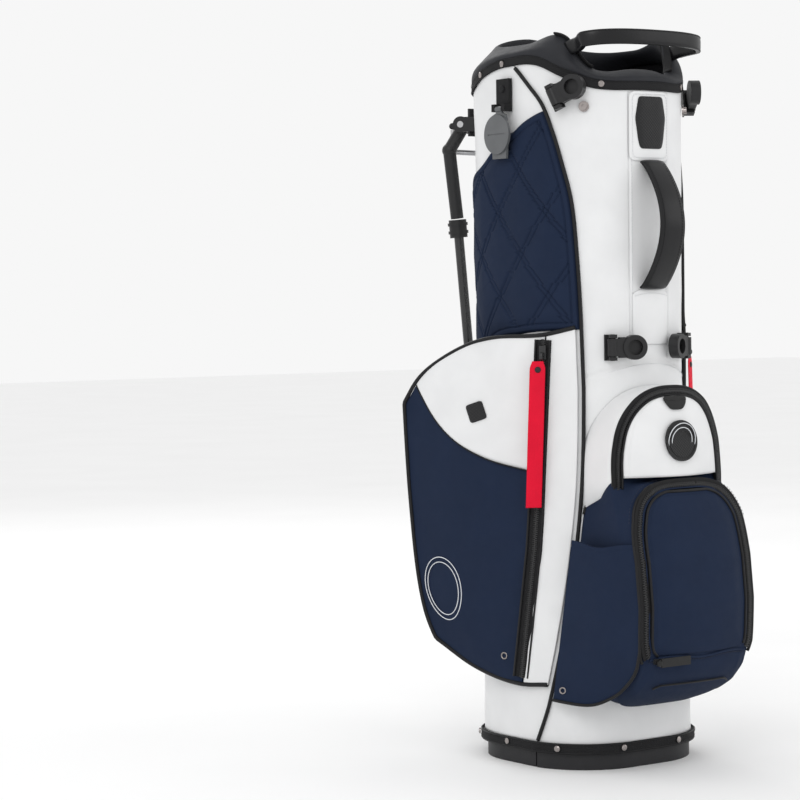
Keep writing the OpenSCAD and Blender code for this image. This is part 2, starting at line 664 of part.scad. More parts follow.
module leg_bracket() color(black) {
    left_and_right() difference() {
        at_left_pivot() {
            leg_ear(-16, 4.6, 18);
            leg_ear(22.6, 4.6, 38);
        }
        at_left_pivot() translate([-30, 0, 0]) rotate([0, 90, 0]) cylinder(h = 80, r = 4 + pin_gap);
    }
    translate([-72, top_back + 0.6, 757]) cube([144, 3.2, 34]);
}

module leg_pins() color(metal) left_and_right()
    at_left_pivot() translate([-17, 0, 0]) rotate([0, 90, 0]) cylinder(h = 45, r = 4);

// Moulded top with its hub, knee and crank
module leg_left_top() color(black) at_left_pivot() difference() {
    union() {
        translate([-11, 0, 0]) rotate([0, 90, 0]) cylinder(h = 33, r = 8.5);
        bar([0, 0, 0], to_pivot(leg_knee), 8);
        translate(to_pivot(leg_knee)) sphere(9);
        bar(to_pivot(leg_knee), to_pivot(mix(leg_knee, leg_joint, 0.982)), 8);
        translate([13, 0, -3.4]) cube([8, crank_r, 6.8]);
        translate([13, crank_r, 0]) rotate([0, 90, 0]) cylinder(h = 8, r = 4);
    }
    translate([-20, 0, 0]) rotate([0, 90, 0]) cylinder(h = 60, r = 4 + pin_gap);
}

function along_leg(t) = mix(leg_joint, leg_end, t);

module leg_left_clamp() color(black) difference() {
    union() {
        bar(leg_joint, along_leg(0.036), 11);
        bar(along_leg(0.006), along_leg(0.012), 12.5);
        bar(along_leg(0.022), along_leg(0.028), 12.5);
    }
    bar(along_leg(0.01), along_leg(0.05), leg_r);
}

module leg_left_tube() color(black) difference() {
    bar(along_leg(0.0101), leg_end, leg_r);
    bar(along_leg(0.005), along_leg(1.1), leg_r - 1.4);
}

module leg_left_foot() color(black) difference() {
    union() {
        bar(along_leg(0.95), along_leg(1.012), 10);
        translate(along_leg(1.012)) sphere(10);
    }
    bar(along_leg(0.94), leg_end, leg_r);
}

module leg_right_top() mirror([1, 0, 0]) leg_left_top();
module leg_right_clamp() mirror([1, 0, 0]) leg_left_clamp();
module leg_right_tube() mirror([1, 0, 0]) leg_left_tube();
module leg_right_foot() mirror([1, 0, 0]) leg_left_foot();

// Guides that hold the lift rod to the back
module rod_guides() color(black)
    for (z = [230, 480, 640]) difference() {
        translate([-7, depth(z, false) + 0.5, z]) cube([14, rod_y + 6 - depth(z, false), 12]);
        translate([0, rod_y, z - 1]) cylinder(h = 20, r = rod_r + pin_gap);
    }

module actuator_rod() color(metal)
    translate([0, rod_y, hinge_z + 0.4]) cylinder(h = yoke_z + 4 - hinge_z, r = rod_r);

// Cross yoke that lifts both cranks
module actuator_yoke() color(metal) {
    pad = leg_pivot + [17 * cos(splay) - crank_r * sin(splay), 17 * sin(splay) + crank_r * cos(splay), -8.4];
    difference() {
        translate([0, rod_y, yoke_z - 6]) cylinder(h = 12, r = 5.2);
        translate([0, rod_y, yoke_z - 10]) cylinder(h = 30, r = rod_r);
    }
    left_and_right() {
        bar([-4.2, rod_y + 2, yoke_z], [pad[0], pad[1], yoke_z + 4], 3.4);
        translate([pad[0], pad[1], yoke_z + 4]) sphere(4);
        translate([pad[0], pad[1], yoke_z + 4]) cylinder(h = pad[2] - yoke_z, r = 3.4);
    }
}

// ---------- assembly ----------

base_shell();
base_trim_band();
base_rivets();
rocker_pin();
base_rocker();
front_panel();
rear_panel();
quilted_panel_left();
quilted_panel_right();
seam_piping();
collar_frame();
collar_padding();
collar_rivets();
divider_grid();
divider_sheets();
stay_rods();
top_handle();
spine_handle();
handle_anchor();
patch_frame();
name_patch();
strap_studs();
clip_anchors();
strap_clip_lower_left();
strap_clip_lower_right();
strap_clip_upper_left();
strap_clip_upper_right();
side_pocket_left();
side_pocket_right();
side_zippers();
side_slider_left();
side_slider_right();
ribbon_left();
ribbon_right();
valuables_pocket();
valuables_door();
emblem_patch();
ball_pocket();
ball_door();
ball_slider();
ball_pull();
sleeve_pocket_left();
sleeve_pocket_right();
tag_loops();
tag_left();
tag_right();
leg_bracket();
leg_pins();
rod_guides();
actuator_rod();
actuator_yoke();
leg_left_top();
leg_left_clamp();
leg_left_tube();
leg_left_foot();
leg_right_top();
leg_right_clamp();
leg_right_tube();
leg_right_foot();
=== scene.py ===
"""Looks of the golf stand bag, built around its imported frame. Lengths are in mm until a mesh is made."""
import math

import bmesh
import bpy
import numpy as np
from mathutils import Matrix, Vector


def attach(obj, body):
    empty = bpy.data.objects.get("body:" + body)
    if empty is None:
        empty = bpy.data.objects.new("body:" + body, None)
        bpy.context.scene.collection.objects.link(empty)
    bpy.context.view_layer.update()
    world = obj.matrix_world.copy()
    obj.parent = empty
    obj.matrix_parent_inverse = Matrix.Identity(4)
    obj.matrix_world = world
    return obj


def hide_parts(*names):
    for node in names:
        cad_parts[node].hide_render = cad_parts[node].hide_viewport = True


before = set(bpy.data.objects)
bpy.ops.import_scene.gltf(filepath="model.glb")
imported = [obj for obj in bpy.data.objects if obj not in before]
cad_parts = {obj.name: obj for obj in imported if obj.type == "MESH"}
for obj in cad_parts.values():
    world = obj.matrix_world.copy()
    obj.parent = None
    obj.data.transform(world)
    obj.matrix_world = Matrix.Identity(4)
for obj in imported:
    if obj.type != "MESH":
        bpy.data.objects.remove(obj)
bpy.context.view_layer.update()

MM = 0.001
LEFT_RIGHT = (("left", -1), ("right", 1))
UP = np.array([0, 0, 1.0])

# the tube's section at three heights: half width, depth to the front and rear, roundness of its corners
TUBE_HALF = ((30, 115.5), (450, 101), (800, 106))
FRONT_DEPTH = ((30, 115.5), (450, 124), (800, 125))
REAR_DEPTH = ((30, 115.5), (450, 124), (800, 127))
FRONT_POWER = ((30, 2.7), (450, 2.45), (800, 2.4))
REAR_POWER = ((30, 2.7), (450, 3), (800, 3.2))
RIM_Z, COLLAR_Z, DIVIDER_Z = 820.0, 800.0, 790
BASE_CORNER = 86.5

# half widths, middle heights and rises of the front pockets' outlines
VALUABLES_HALF, VALUABLES_FOOT, VALUABLES_RISE = 84, 346, 106
BALL_HALF, BALL_MIDDLE, BALL_RISE = 88, 209.5, 133.5
DOOR_HALF, DOOR_MIDDLE, DOOR_UP, DOOR_DOWN = 73, 246, 86, 102

# the side pocket's share between the seam and the zip, and the zip's ends
ZIP_SHARE = 0.2
ZIP_LOW, ZIP_TOP = np.array([118.0, -36.0, 95.0]), np.array([108.0, -58.0, 512.0])

# ---------- the bag's surfaces ----------


def lookup(v, *pairs):
    """Straight lines through (place, value) pairs."""
    return np.interp(v, [p[0] for p in pairs], [p[1] for p in pairs])


def curve(v, *pairs):
    """A smooth curve through (place, value) pairs."""
    x, y = np.array(pairs, float).T
    slope = np.diff(y) / np.diff(x)
    m = np.concatenate([slope[:1], (slope[1:] + slope[:-1]) / 2, slope[-1:]])
    v = np.clip(v, x[0], x[-1])
    i = np.clip(np.searchsorted(x, v) - 1, 0, len(x) - 2)
    h = x[i + 1] - x[i]
    t = (v - x[i]) / h
    return ((2 * t ** 3 - 3 * t * t + 1) * y[i] + (t ** 3 - 2 * t * t + t) * h * m[i]
            + (3 * t * t - 2 * t ** 3) * y[i + 1] + (t ** 3 - t * t) * h * m[i + 1])


def spow(v, e):
    return np.sign(v) * np.abs(v) ** e


def mix(a, b, t):
    return a + (b - a) * t


def unit(v):
    return v / np.maximum(np.linalg.norm(v, axis=-1, keepdims=True), 1e-9)


def xyz(x, y, z):
    """Points from their coordinates, any of which may be one number for all."""
    return np.stack(np.broadcast_arrays(x, y, z), -1)


def toward(path, x, y, z):
    """One outward direction for every point of a path."""
    return np.tile(np.array([x, y, z], float), (len(path), 1))


def smooth(v, low, high):
    t = np.clip((v - low) / (high - low), 0, 1)
    return t * t * (3 - 2 * t)


def groove(d, width):
    """1 on a line and 0 well away from it."""
    return np.exp(-((d / width) ** 2))


def tube(u, z, out=0.0):
    """Point on the tube, u degrees round from the front towards +X."""
    u, z = np.broadcast_arrays(np.asarray(u, float), np.asarray(z, float))
    a = np.radians(u)
    front = np.cos(a) > 0
    half = lookup(z, *TUBE_HALF)
    deep = np.where(front, lookup(z, *FRONT_DEPTH), lookup(z, *REAR_DEPTH))
    power = np.where(front, lookup(z, *FRONT_POWER), lookup(z, *REAR_POWER))
    return xyz((half + out) * spow(np.sin(a), 2 / power), -(deep + out) * spow(np.cos(a), 2 / power), z)


def on_front(x, z, out=0.0):
    """Point on the tube's front at a given x."""
    half, deep = lookup(z, *TUBE_HALF) + out, lookup(z, *FRONT_DEPTH) + out
    power = lookup(z, *FRONT_POWER)
    return xyz(x, -deep * np.maximum(1 - np.abs(x / half) ** power, 0) ** (1 / power), z)


def seam_u(z):
    return curve(z, (30, 75), (80, 66), (300, 47), (500, 46.5), (610, 49), (670, 52), (715, 58), (750, 63.5),
                  (785, 71), (808, 80), (831, 89))


def fold(u):
    u = np.abs(np.asarray(u, float)) % 360
    return np.where(u > 180, 360 - u, u)


def collar_low(u):
    return curve(fold(u), (0, 797), (36, 799), (56, 813), (74, 829), (90, 831), (106, 822), (125, 809),
                 (150, 803), (180, 802))


def collar_high(u):
    return curve(fold(u), (0, 823), (38, 825), (48, 842), (57, 861), (90, 858), (120, 861), (180, 876))


def side_edge(z):
    """The side pocket's rear edge."""
    x = curve(z, (96, 128), (125, 141), (150, 147), (200, 152), (300, 160), (430, 167), (462, 168),
              (485, 162), (505, 152), (521, 142))
    y = curve(z, (96, 88), (125, 102), (150, 116), (175, 127), (205, 134), (300, 140), (430, 142), (521, 142))
    return x, y


def side_high(s):
    return curve(s, (0, 521), (0.2, 513), (0.6, 505), (0.78, 485), (0.9, 462), (1, 430))


def side_low(s):
    return curve(s, (0, 100), (0.2, 98), (0.6, 106), (0.8, 118), (1, 142))


def zip_at(z):
    """The side zip's line."""
    z = np.asarray(z, float)
    lean = lookup(z, (95, 15), (260, 1), (300, 0))
    share = (z - ZIP_LOW[2]) / (ZIP_TOP[2] - ZIP_LOW[2])
    return mix(ZIP_LOW, ZIP_TOP, share[..., None]) + lean[..., None] * np.array([0.1, 1, 0])


def on_side(s, t, out=0.0):
    """Outer face of the right side pocket, s from the seam to the rear edge, t from bottom to top."""
    s, t = np.broadcast_arrays(np.asarray(s, float), np.asarray(t, float))
    z = mix(side_low(s), side_high(s), t)
    zip_line, seam = zip_at(z), tube(seam_u(z) + 4, z, 3.5)
    edge_x, edge_y = side_edge(z)
    q = np.maximum(0, (s - ZIP_SHARE) / (1 - ZIP_SHARE))
    full = 9 * np.sin(np.pi * q) * np.sqrt(np.maximum(np.sin(np.pi * np.clip(t, 0, 1)), 0))
    strip = mix(seam, zip_line, (s / ZIP_SHARE)[..., None])
    before = s < ZIP_SHARE
    x = np.where(before, strip[..., 0] + out * 0.8, mix(zip_line[..., 0], edge_x, q) + full + out * 0.93)
    y = np.where(before, strip[..., 1] - out * 0.6, mix(zip_line[..., 1], edge_y, q) - out * 0.36)
    return xyz(x, y, z)


def two_tone(s):
    """Height of the seam between the white and the navy of a side pocket."""
    z = curve(s, (0.2, 350), (0.27, 353), (0.5, 366), (0.68, 386), (0.8, 410), (0.9, 443), (1, 490))
    return np.minimum(z, side_high(s) - 0.5)


def at_height(s, z, out=0.0):
    return on_side(s, (z - side_low(s)) / (side_high(s) - side_low(s)), out)


def val_y(x, z):
    """Front face of the valuables pocket."""
    deep = lookup(z, (340, 174), (386, 171), (430, 164), (452, 157))
    return -(deep - 26 * np.abs(x / VALUABLES_HALF) ** 2.2)


def val_arch(a, inset):
    r = np.radians(a)
    x = -(VALUABLES_HALF - inset) * spow(np.cos(r), 0.8)
    return x, VALUABLES_FOOT + (VALUABLES_RISE - inset) * spow(np.sin(r), 0.8)


def ball_y(x, z):
    """Front face of the ball pocket."""
    deep = lookup(z, (76, 152), (100, 187), (120, 202), (150, 210), (200, 212), (250, 207), (300, 196),
                  (330, 184), (343, 172))
    return -(deep - 13 * np.abs(x / BALL_HALF) ** 2.2)


def ball_ring(a, inset):
    """The ball pocket's outline, `inset` mm inside its edge."""
    r = np.radians(a)
    rise = np.where(np.sin(r) >= 0, spow(np.sin(r), 0.26), spow(np.sin(r), 0.42))
    return (BALL_HALF - inset) * spow(np.cos(r), 0.42), BALL_MIDDLE + (BALL_RISE - inset) * rise


def ball_root(a, out):
    """Where the ball pocket's wall leaves the tube: seam to seam, highest in the middle."""
    r = np.radians(a)
    ox, oz = ball_ring(a, 0)
    low = on_front(ox * 0.9, oz, out)
    share = spow(np.cos(r), 0.22)
    z = BALL_MIDDLE + (147.5 - 33 * np.abs(share) ** 1.1) * spow(np.sin(r), 0.2)
    high = tube(share * (seam_u(z) - 2.2), z, out)
    return np.where((z > 209)[..., None], mix(low, high, smooth(z, 209, 240)[..., None]), low)


def door_ring(a, inset):
    """The ball pocket door's outline, `inset` mm inside its edge."""
    r = np.radians(a)
    up = np.sin(r) >= 0
    x = (DOOR_HALF - inset) * np.where(up, spow(np.cos(r), 0.6), spow(np.cos(r), 0.18))
    above = (DOOR_UP - 0.65 * inset) * spow(np.sin(r), 0.6)
    below = (DOOR_DOWN - inset) * np.abs(np.sin(r)) ** 0.2
    return x, np.where(up, DOOR_MIDDLE + above, DOOR_MIDDLE - below)


def ripple(p, size, seed):
    """Soft irregular waves about `size` mm across, from -1 to 1."""
    rng = np.random.RandomState(seed)
    total = 0
    for _ in range(7):
        way = rng.normal(size=3)
        way *= 2 * np.pi / (size * rng.uniform(0.7, 1.6)) / np.linalg.norm(way)
        total = total + np.sin(p @ way + rng.uniform(0, 6.28))
    return total / 4


# ---------- meshes ----------


def make(name, verts, faces, material, body):
    """A smooth-shaded mesh piece from millimetre points, its faces turned the right way out."""
    mesh = bpy.data.meshes.new(name)
    mesh.from_pydata((np.asarray(verts, float).reshape(-1, 3) * MM).tolist(), [], faces)
    mesh.validate()
    mesh.polygons.foreach_set("use_smooth", [True] * len(mesh.polygons))
    piece = bpy.data.objects.new(name, mesh)
    bpy.context.scene.collection.objects.link(piece)
    mesh.materials.append(material)
    work = bmesh.new()
    work.from_mesh(mesh)
    bmesh.ops.recalc_face_normals(work, faces=work.faces)
    work.to_mesh(mesh)
    work.free()
    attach(piece, body)
    return piece


def grid_faces(n, m, wrap_n=False, wrap_m=False, base=0):
    i, j = np.meshgrid(np.arange(n if wrap_n else n - 1), np.arange(m if wrap_m else m - 1), indexing="ij")
    k, l = (i + 1) % n, (j + 1) % m
    return (np.stack([i * m + j, k * m + j, k * m + l, i * m + l], -1).reshape(-1, 4) + base).tolist()


def normals(P, wrap_n=False):
    """Unit normals of a grid of points."""
    du = np.roll(P, -1, 0) - np.roll(P, 1, 0) if wrap_n else np.gradient(P, axis=0)
    return unit(np.cross(du, np.gradient(P, axis=1)))


def capped(n, m):
    """Faces of n rings of m points, with both ends closed."""
    return grid_faces(n, m, False, True) + [list(range(m)), list(range((n - 1) * m, n * m))[::-1]]


def outward(P, N, centre):
    """The grid's normals turned away from a centre point."""
    away = ((P - np.asarray(centre, float)) * N).sum(-1).mean()
    return N if away > 0 else -N


def flip(P, side):
    return P * np.array([side, 1, 1])


def panel(name, P, material, body, lift=None, thick=2.0, centre=(0, 0, None), wrap=False, side=1):
    """A sheet with real thickness: a lifted outer face, an inner face `thick` behind it, and a rim."""
    c = [centre[0], centre[1], P[..., 2].mean() if centre[2] is None else centre[2]]
    N = outward(P, normals(P, wrap), c)
    outer = P if lift is None else P + N * lift[..., None]
    inner = outer - N * thick
    n, m = P.shape[:2]
    o = n * m
    faces = grid_faces(n, m, wrap) + [f[::-1] for f in grid_faces(n, m, wrap, base=o)]
    for j in (0, m - 1):
        for i in range(n if wrap else n - 1):
            a, b = i * m + j, ((i + 1) % n) * m + j
            faces.append([a, o + a, o + b, b] if j == 0 else [b, o + b, o + a, a])
    if not wrap:
        for i in (0, n - 1):
            for j in range(m - 1):
                a, b = i * m + j, i * m + j + 1
                faces.append([b, o + b, o + a, a] if i == 0 else [a, o + a, o + b, b])
    return make(name, flip(np.stack([outer, inner]), side), faces, material, body)


def spaced(path, facing, pitch):
    """Points every `pitch` mm along a path, and the outward direction at each."""
    path, facing = np.asarray(path, float), np.asarray(facing, float)
    run = np.concatenate([[0], np.cumsum(np.linalg.norm(np.diff(path, axis=0), axis=1))])
    at = np.linspace(0, run[-1], max(2, int(run[-1] / pitch) + 1))
    own = np.linspace(0, 1, len(path))
    points = np.stack([np.interp(at, run, path[:, i]) for i in range(3)], -1)
    return points, np.stack([np.interp(at / run[-1], own, facing[:, i]) for i in range(3)], -1)


def along(path, pitch):
    """Points every `pitch` mm along a path."""
    return spaced(path, np.zeros(np.shape(path)), pitch)[0]


def directions(path, closed=False):
    return unit(np.roll(path, -1, 0) - np.roll(path, 1, 0) if closed else np.gradient(path, axis=0))


def sweep(name, path, facing, section, material, body, closed=False, side=1):
    """A section of (across, outward) points carried along a path whose points face as told."""
    path, facing = np.asarray(path, float), np.asarray(facing, float)
    d = directions(path, closed)
    facing = unit(facing - (facing * d).sum(1, keepdims=True) * d)
    across = np.cross(facing, d)
    P = path[:, None] + across[:, None] * section[None, :, :1] + facing[:, None] * section[None, :, 1:]
    n, m = P.shape[:2]
    faces = grid_faces(n, m, True, True) if closed else capped(n, m)
    return make(name, flip(P, side), faces, material, body)


def round_section(r, sides=10):
    a = np.arange(sides) * 2 * np.pi / sides
    return np.stack([r * np.cos(a), r * np.sin(a)], -1)


def flat_section(width, thick, power=4, points=20, lift=0.0):
    a = np.arange(points) * 2 * np.pi / points
    across, out = width / 2 * spow(np.cos(a), 2 / power), thick / 2 * spow(np.sin(a), 2 / power) + lift
    return np.stack([across, out], -1)


def repeated(name, places, ways, ups, template, faces, material, slot, side=1):
    """One small template copied along x=way, z=up at every place, all in one piece."""
    across = unit(np.cross(ups, ways))
    verts = places[:, None]
    for i, axis in enumerate((ways, across, np.cross(ways, across))):
        verts = verts + axis[:, None] * template[None, :, i:i + 1]
    count = len(template)
    every = [[v + i * count for v in f] for i in range(len(places)) for f in faces]
    return make(name, flip(verts, side), every, material, "bag")


def capsule(length, r, sides=6):
    a = np.arange(sides) * 2 * np.pi / sides
    rings = [(-0.5, 0.3), (-0.38, 0.85), (0, 1.0), (0.38, 0.85), (0.5, 0.3)]
    pts = np.array([[x * length, r * k * np.cos(t), r * k * np.sin(t)] for x, k in rings for t in a])
    first, last = capped(len(rings), sides)[-2:]
    return pts, grid_faces(len(rings), sides, False, True) + [first[::-1], last[::-1]]


def stitches(name, path, facing, material, slot, pitch=3.6, length=2.5, r=0.38):
    """A row of separate thread stitches lying along a path."""
    places, ups = spaced(path, facing, pitch)
    ways = directions(places)
    return repeated(name, places + ups * r * 0.5, ways, ups, *capsule(length, r), material, slot)


def zip_teeth(name, path, facing, pitch=2.5, side=1):
    """Two interlocking rows of moulded teeth."""
    places, ups = spaced(path, facing, pitch / 2)
    across = unit(np.cross(ups, directions(places)))
    swap = np.where(np.arange(len(places)) % 2 == 0, 1.0, -1.0)[:, None]
    places = places + across * swap * 1.1 + ups * 0.5
    return repeated(name, places, across, ups, *capsule(4.4, 0.85), TEETH, "zip_metal", side)


def patch(name, outline, surface, lift, material, body, slot, edge=0.25, rings=10, thick=1.5):
    """A cushioned patch: rings from its centre out to a closed outline, laid on a surface(x, z, out)."""
    centre = outline.mean(0)
    radius = np.concatenate([[0.02], np.linspace(0.12, 0.86, rings - 4), [0.93, 0.98, 1.0]])
    rows = [(r, lift * (1 - edge * r ** 8)) for r in radius] + [(1.0, lift - thick)]
    P = []
    for r, out in rows:
        q = centre + (outline - centre) * r
        P.append(surface(q[:, 0], q[:, 1], out))
    P = np.array(P)
    n, m = P.shape[:2]
    back = surface(*centre[:, None], lift - thick)
    faces = grid_faces(n, m, False, True) + [list(range(m))]
    faces += [[(n - 1) * m + (j + 1) % m, (n - 1) * m + j, n * m] for j in range(m)]
    return make(name, np.concatenate([P.reshape(-1, 3), back]), faces, material, body)


def rounded(points, radius, steps=6):
    """A closed outline with its corners rounded off."""
    pts = [np.asarray(p, float) for p in points]
    out = []
    for i, p in enumerate(pts):
        a, b = pts[i - 1] - p, pts[(i + 1) % len(pts)] - p
        a, b = a / np.linalg.norm(a) * radius, b / np.linalg.norm(b) * radius
        for t in np.linspace(0, 1, steps):
            out.append((1 - t) ** 2 * (p + a) + 2 * t * (1 - t) * p + t * t * (p + b))
    out = np.array(out)
    closed = np.vstack([out, out[:1]])
    flat = np.column_stack([closed, np.zeros(len(closed))])
    return along(flat, 1.6)[:-1, :2]


def loop_smooth(points, steps):
    """Smooth closed curves through each row of points (rows, corners, 3)."""
    a, b, c, d = np.roll(points, 1, 1), points, np.roll(points, -1, 1), np.roll(points, -2, 1)
    out = []
    for t in np.arange(steps) / steps:
        square, cube = 2 * a - 5 * b + 4 * c - d, 3 * b - a - 3 * c + d
        out.append(0.5 * (2 * b + (c - a) * t + square * t * t + cube * t ** 3))
    return np.stack(out, 2).reshape(points.shape[0], -1, 3)


def closed_loft(name, P, material):
    """A ring-shaped solid: rows go round the object, columns round the section."""
    return make(name, P, grid_faces(*P.shape[:2], True, True), material, "bag")


# ---------- materials ----------

GLOSS_SPREAD = 0.08


class Look:
    """A procedural material, built node by node on metric object coordinates."""

    def __init__(self, name, colour, rough, metal=0.0, coat=0.0, specular=0.5):
        self.material = bpy.data.materials.new(name)
        self.material.use_nodes = True
        self.tree = self.material.node_tree
        self.shader = self.tree.nodes["Principled BSDF"]
        self.shader.inputs["Base Color"].default_value = (*colour, 1)
        self.shader.inputs["Roughness"].default_value = rough
        self.shader.inputs["Metallic"].default_value = metal
        self.shader.inputs["Coat Weight"].default_value = coat
        self.shader.inputs["Specular IOR Level"].default_value = specular
        self.colour, self.rough = colour, rough
        self.place = self.tree.nodes.new("ShaderNodeTexCoord").outputs["Object"]
        self.height = None

    def link(self, a, b):
        self.tree.links.new(a, b)

    def node(self, kind, **values):
        made = self.tree.nodes.new(kind)
        for key, value in values.items():
            if key in made.inputs:
                made.inputs[key].default_value = value
            else:
                setattr(made, key, value)
        return made

    def maths(self, operation, a, b):
        made = self.node("ShaderNodeMath", operation=operation)
        for i, v in enumerate((a, b)):
            if isinstance(v, (int, float)):
                made.inputs[i].default_value = v
            else:
                self.link(v, made.inputs[i])
        return made.outputs[0]

    def noise(self, scale, detail=4.0):
        made = self.node("ShaderNodeTexNoise", Scale=scale, Detail=detail)
        self.link(self.place, made.inputs["Vector"])
        return made.outputs["Fac"]

    def cells(self, scale):
        made = self.node("ShaderNodeTexVoronoi", Scale=scale, feature="SMOOTH_F1")
        self.link(self.place, made.inputs["Vector"])
        return made.outputs["Distance"]

    def weave(self, scale):
        """Crossing threads that run level and upright, on any side of the bag."""
        parts = self.node("ShaderNodeSeparateXYZ")
        self.link(self.place, parts.inputs[0])
        turn = 2 * math.pi * scale
        across = self.maths("ADD", parts.outputs[0], parts.outputs[1])
        waves = []
        for way in (across, parts.outputs[2]):
            waves.append(self.maths("SINE", self.maths("MULTIPLY", way, turn), 0.0))
        return self.maths("MULTIPLY", *waves)

    def add(self, height, amount):
        part = self.maths("MULTIPLY", height, amount)
        self.height = part if self.height is None else self.maths("ADD", self.height, part)

    def finish(self, shade, shade_scale=25.0):
        """Bump from the heights (in millimetres), and slow changes of colour and gloss."""
        bump = self.node("ShaderNodeBump", Strength=1.0, Distance=MM)
        self.link(self.height, bump.inputs["Height"])
        self.link(bump.outputs["Normal"], self.shader.inputs["Normal"])
        spots = self.noise(shade_scale, 5.0)
        ramp = self.node("ShaderNodeValToRGB")
        for stop, k in zip(ramp.color_ramp.elements, (1 - shade, 1 + shade)):
            stop.color = (*[min(1.0, c * k) for c in self.colour], 1)
        for stop, place in zip(ramp.color_ramp.elements, (0.3, 0.7)):
            stop.position = place
        self.link(spots, ramp.inputs["Fac"])
        self.link(ramp.outputs["Color"], self.shader.inputs["Base Color"])
        gloss = self.node("ShaderNodeMapRange")
        gloss.inputs["To Min"].default_value = max(0.05, self.rough - GLOSS_SPREAD)
        gloss.inputs["To Max"].default_value = min(1.0, self.rough + GLOSS_SPREAD)
        self.link(self.noise(90.0, 3.0), gloss.inputs["Value"])
        self.link(gloss.outputs["Result"], self.shader.inputs["Roughness"])
        return self.material


def leather(name, colour, rough, grain=900, depth=0.05, **more):
    look = Look(name, colour, rough, **more)
    look.add(look.cells(grain), depth)
    look.add(look.noise(grain * 2.2, 3.0), depth * 0.5)
    look.add(look.noise(60, 2.0), depth * 3)
    return look.finish(shade=0.03)


def cloth(name, colour, rough, threads=900, depth=0.04, shade=0.07, **more):
    look = Look(name, colour, rough, **more)
    look.add(look.weave(threads), depth)
    look.add(look.noise(threads * 1.5, 3.0), depth * 0.8)
    return look.finish(shade=shade)


def moulded(name, colour, rough, grain=1400, depth=0.03, **more):
    look = Look(name, colour, rough, **more)
    look.add(look.noise(grain, 4.0), depth)
    return look.finish(shade=0.08, shade_scale=60)


WHITE = leather("white_faux_leather", (0.755, 0.76, 0.765), 0.45, grain=1000, depth=0.035, specular=0.35)
NAVY = cloth("navy_softshell", (0.01, 0.0185, 0.044), 0.8, threads=700, depth=0.03, specular=0.16, shade=0.05)
BLACK_LEATHER = leather("black_leather", (0.006, 0.006, 0.007), 0.33, grain=700, depth=0.06, specular=0.3)
NEOPRENE = cloth("black_neoprene", (0.016, 0.017, 0.021), 0.62, threads=1100, depth=0.02, specular=0.3)
WEBBING = cloth("black_webbing", (0.010, 0.010, 0.011), 0.75, threads=330, depth=0.16, specular=0.25)
PIPING = leather("black_piping", (0.009, 0.009, 0.010), 0.5, grain=1500, depth=0.02, specular=0.25)
FLEECE = cloth("black_fleece", (0.005, 0.005, 0.006), 0.95, threads=420, depth=0.25, specular=0.1)
PLASTIC = moulded("black_plastic", (0.013, 0.013, 0.014), 0.42, specular=0.35)
BASE_PLASTIC = moulded("base_plastic", (0.015, 0.015, 0.017), 0.55, grain=1100, depth=0.07, specular=0.35)
TEETH = moulded("zip_teeth", (0.02, 0.02, 0.021), 0.3, depth=0.01)
GUNMETAL = moulded("gunmetal", (0.33, 0.30, 0.29), 0.28, depth=0.01, metal=1.0)
STEEL = moulded("steel", (0.5, 0.5, 0.51), 0.3, depth=0.01, metal=1.0)
LEG_TUBE = moulded("leg_tube", (0.012, 0.012, 0.013), 0.28, depth=0.01, coat=0.3)
RUBBER = moulded("rubber", (0.012, 0.012, 0.012), 0.8, grain=500, depth=0.12)
TAG_RUBBER = moulded("tag_rubber", (0.10, 0.105, 0.11), 0.42, depth=0.03)
RED = cloth("red_ribbon", (0.72, 0.004, 0.030), 0.6, threads=620, depth=0.09, specular=0.15)
PRINT = moulded("white_print", (0.72, 0.74, 0.77), 0.6)
WHITE_THREAD = cloth("white_thread", (0.66, 0.67, 0.68), 0.6, threads=1600, depth=0.05)
NAVY_THREAD = cloth("navy_thread", (0.007, 0.012, 0.030), 0.7, threads=1600, depth=0.05)
CARBON = cloth("patch_weave", (0.011, 0.011, 0.012), 0.45, threads=260, depth=0.22, specular=0.3)

CAD_LOOKS = (
    (BASE_PLASTIC, "base_shell base_rocker"),
    (STEEL, "rocker_pin leg_pins actuator_rod actuator_yoke"),
    (GUNMETAL, "base_rivets collar_rivets strap_studs"),
    (PLASTIC, "clip_anchors leg_bracket rod_guides"),
    (PLASTIC, "leg_left_top leg_right_top leg_left_clamp leg_right_clamp"),
    (PLASTIC, "strap_clip_lower_left strap_clip_lower_right strap_clip_upper_left strap_clip_upper_right"),
    (RUBBER, "stay_rods ball_pull leg_left_foot leg_right_foot"),
    (TEETH, "side_slider_left side_slider_right ball_slider"),
    (CARBON, "emblem_patch"),
    (WEBBING, "tag_loops"),
    (TAG_RUBBER, "tag_left tag_right"),
    (LEG_TUBE, "leg_left_tube leg_right_tube"),
)
for material, names in CAD_LOOKS:
    for node_name in names.split():
        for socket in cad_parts[node_name].material_slots:
            socket.material = material


def line_on(surface, xs, zs, out):
    """A path on a surface and its outward directions."""
    p = surface(xs, zs, out)
    return p, unit(surface(xs, zs, out + 1) - p)


# ---------- tube ----------


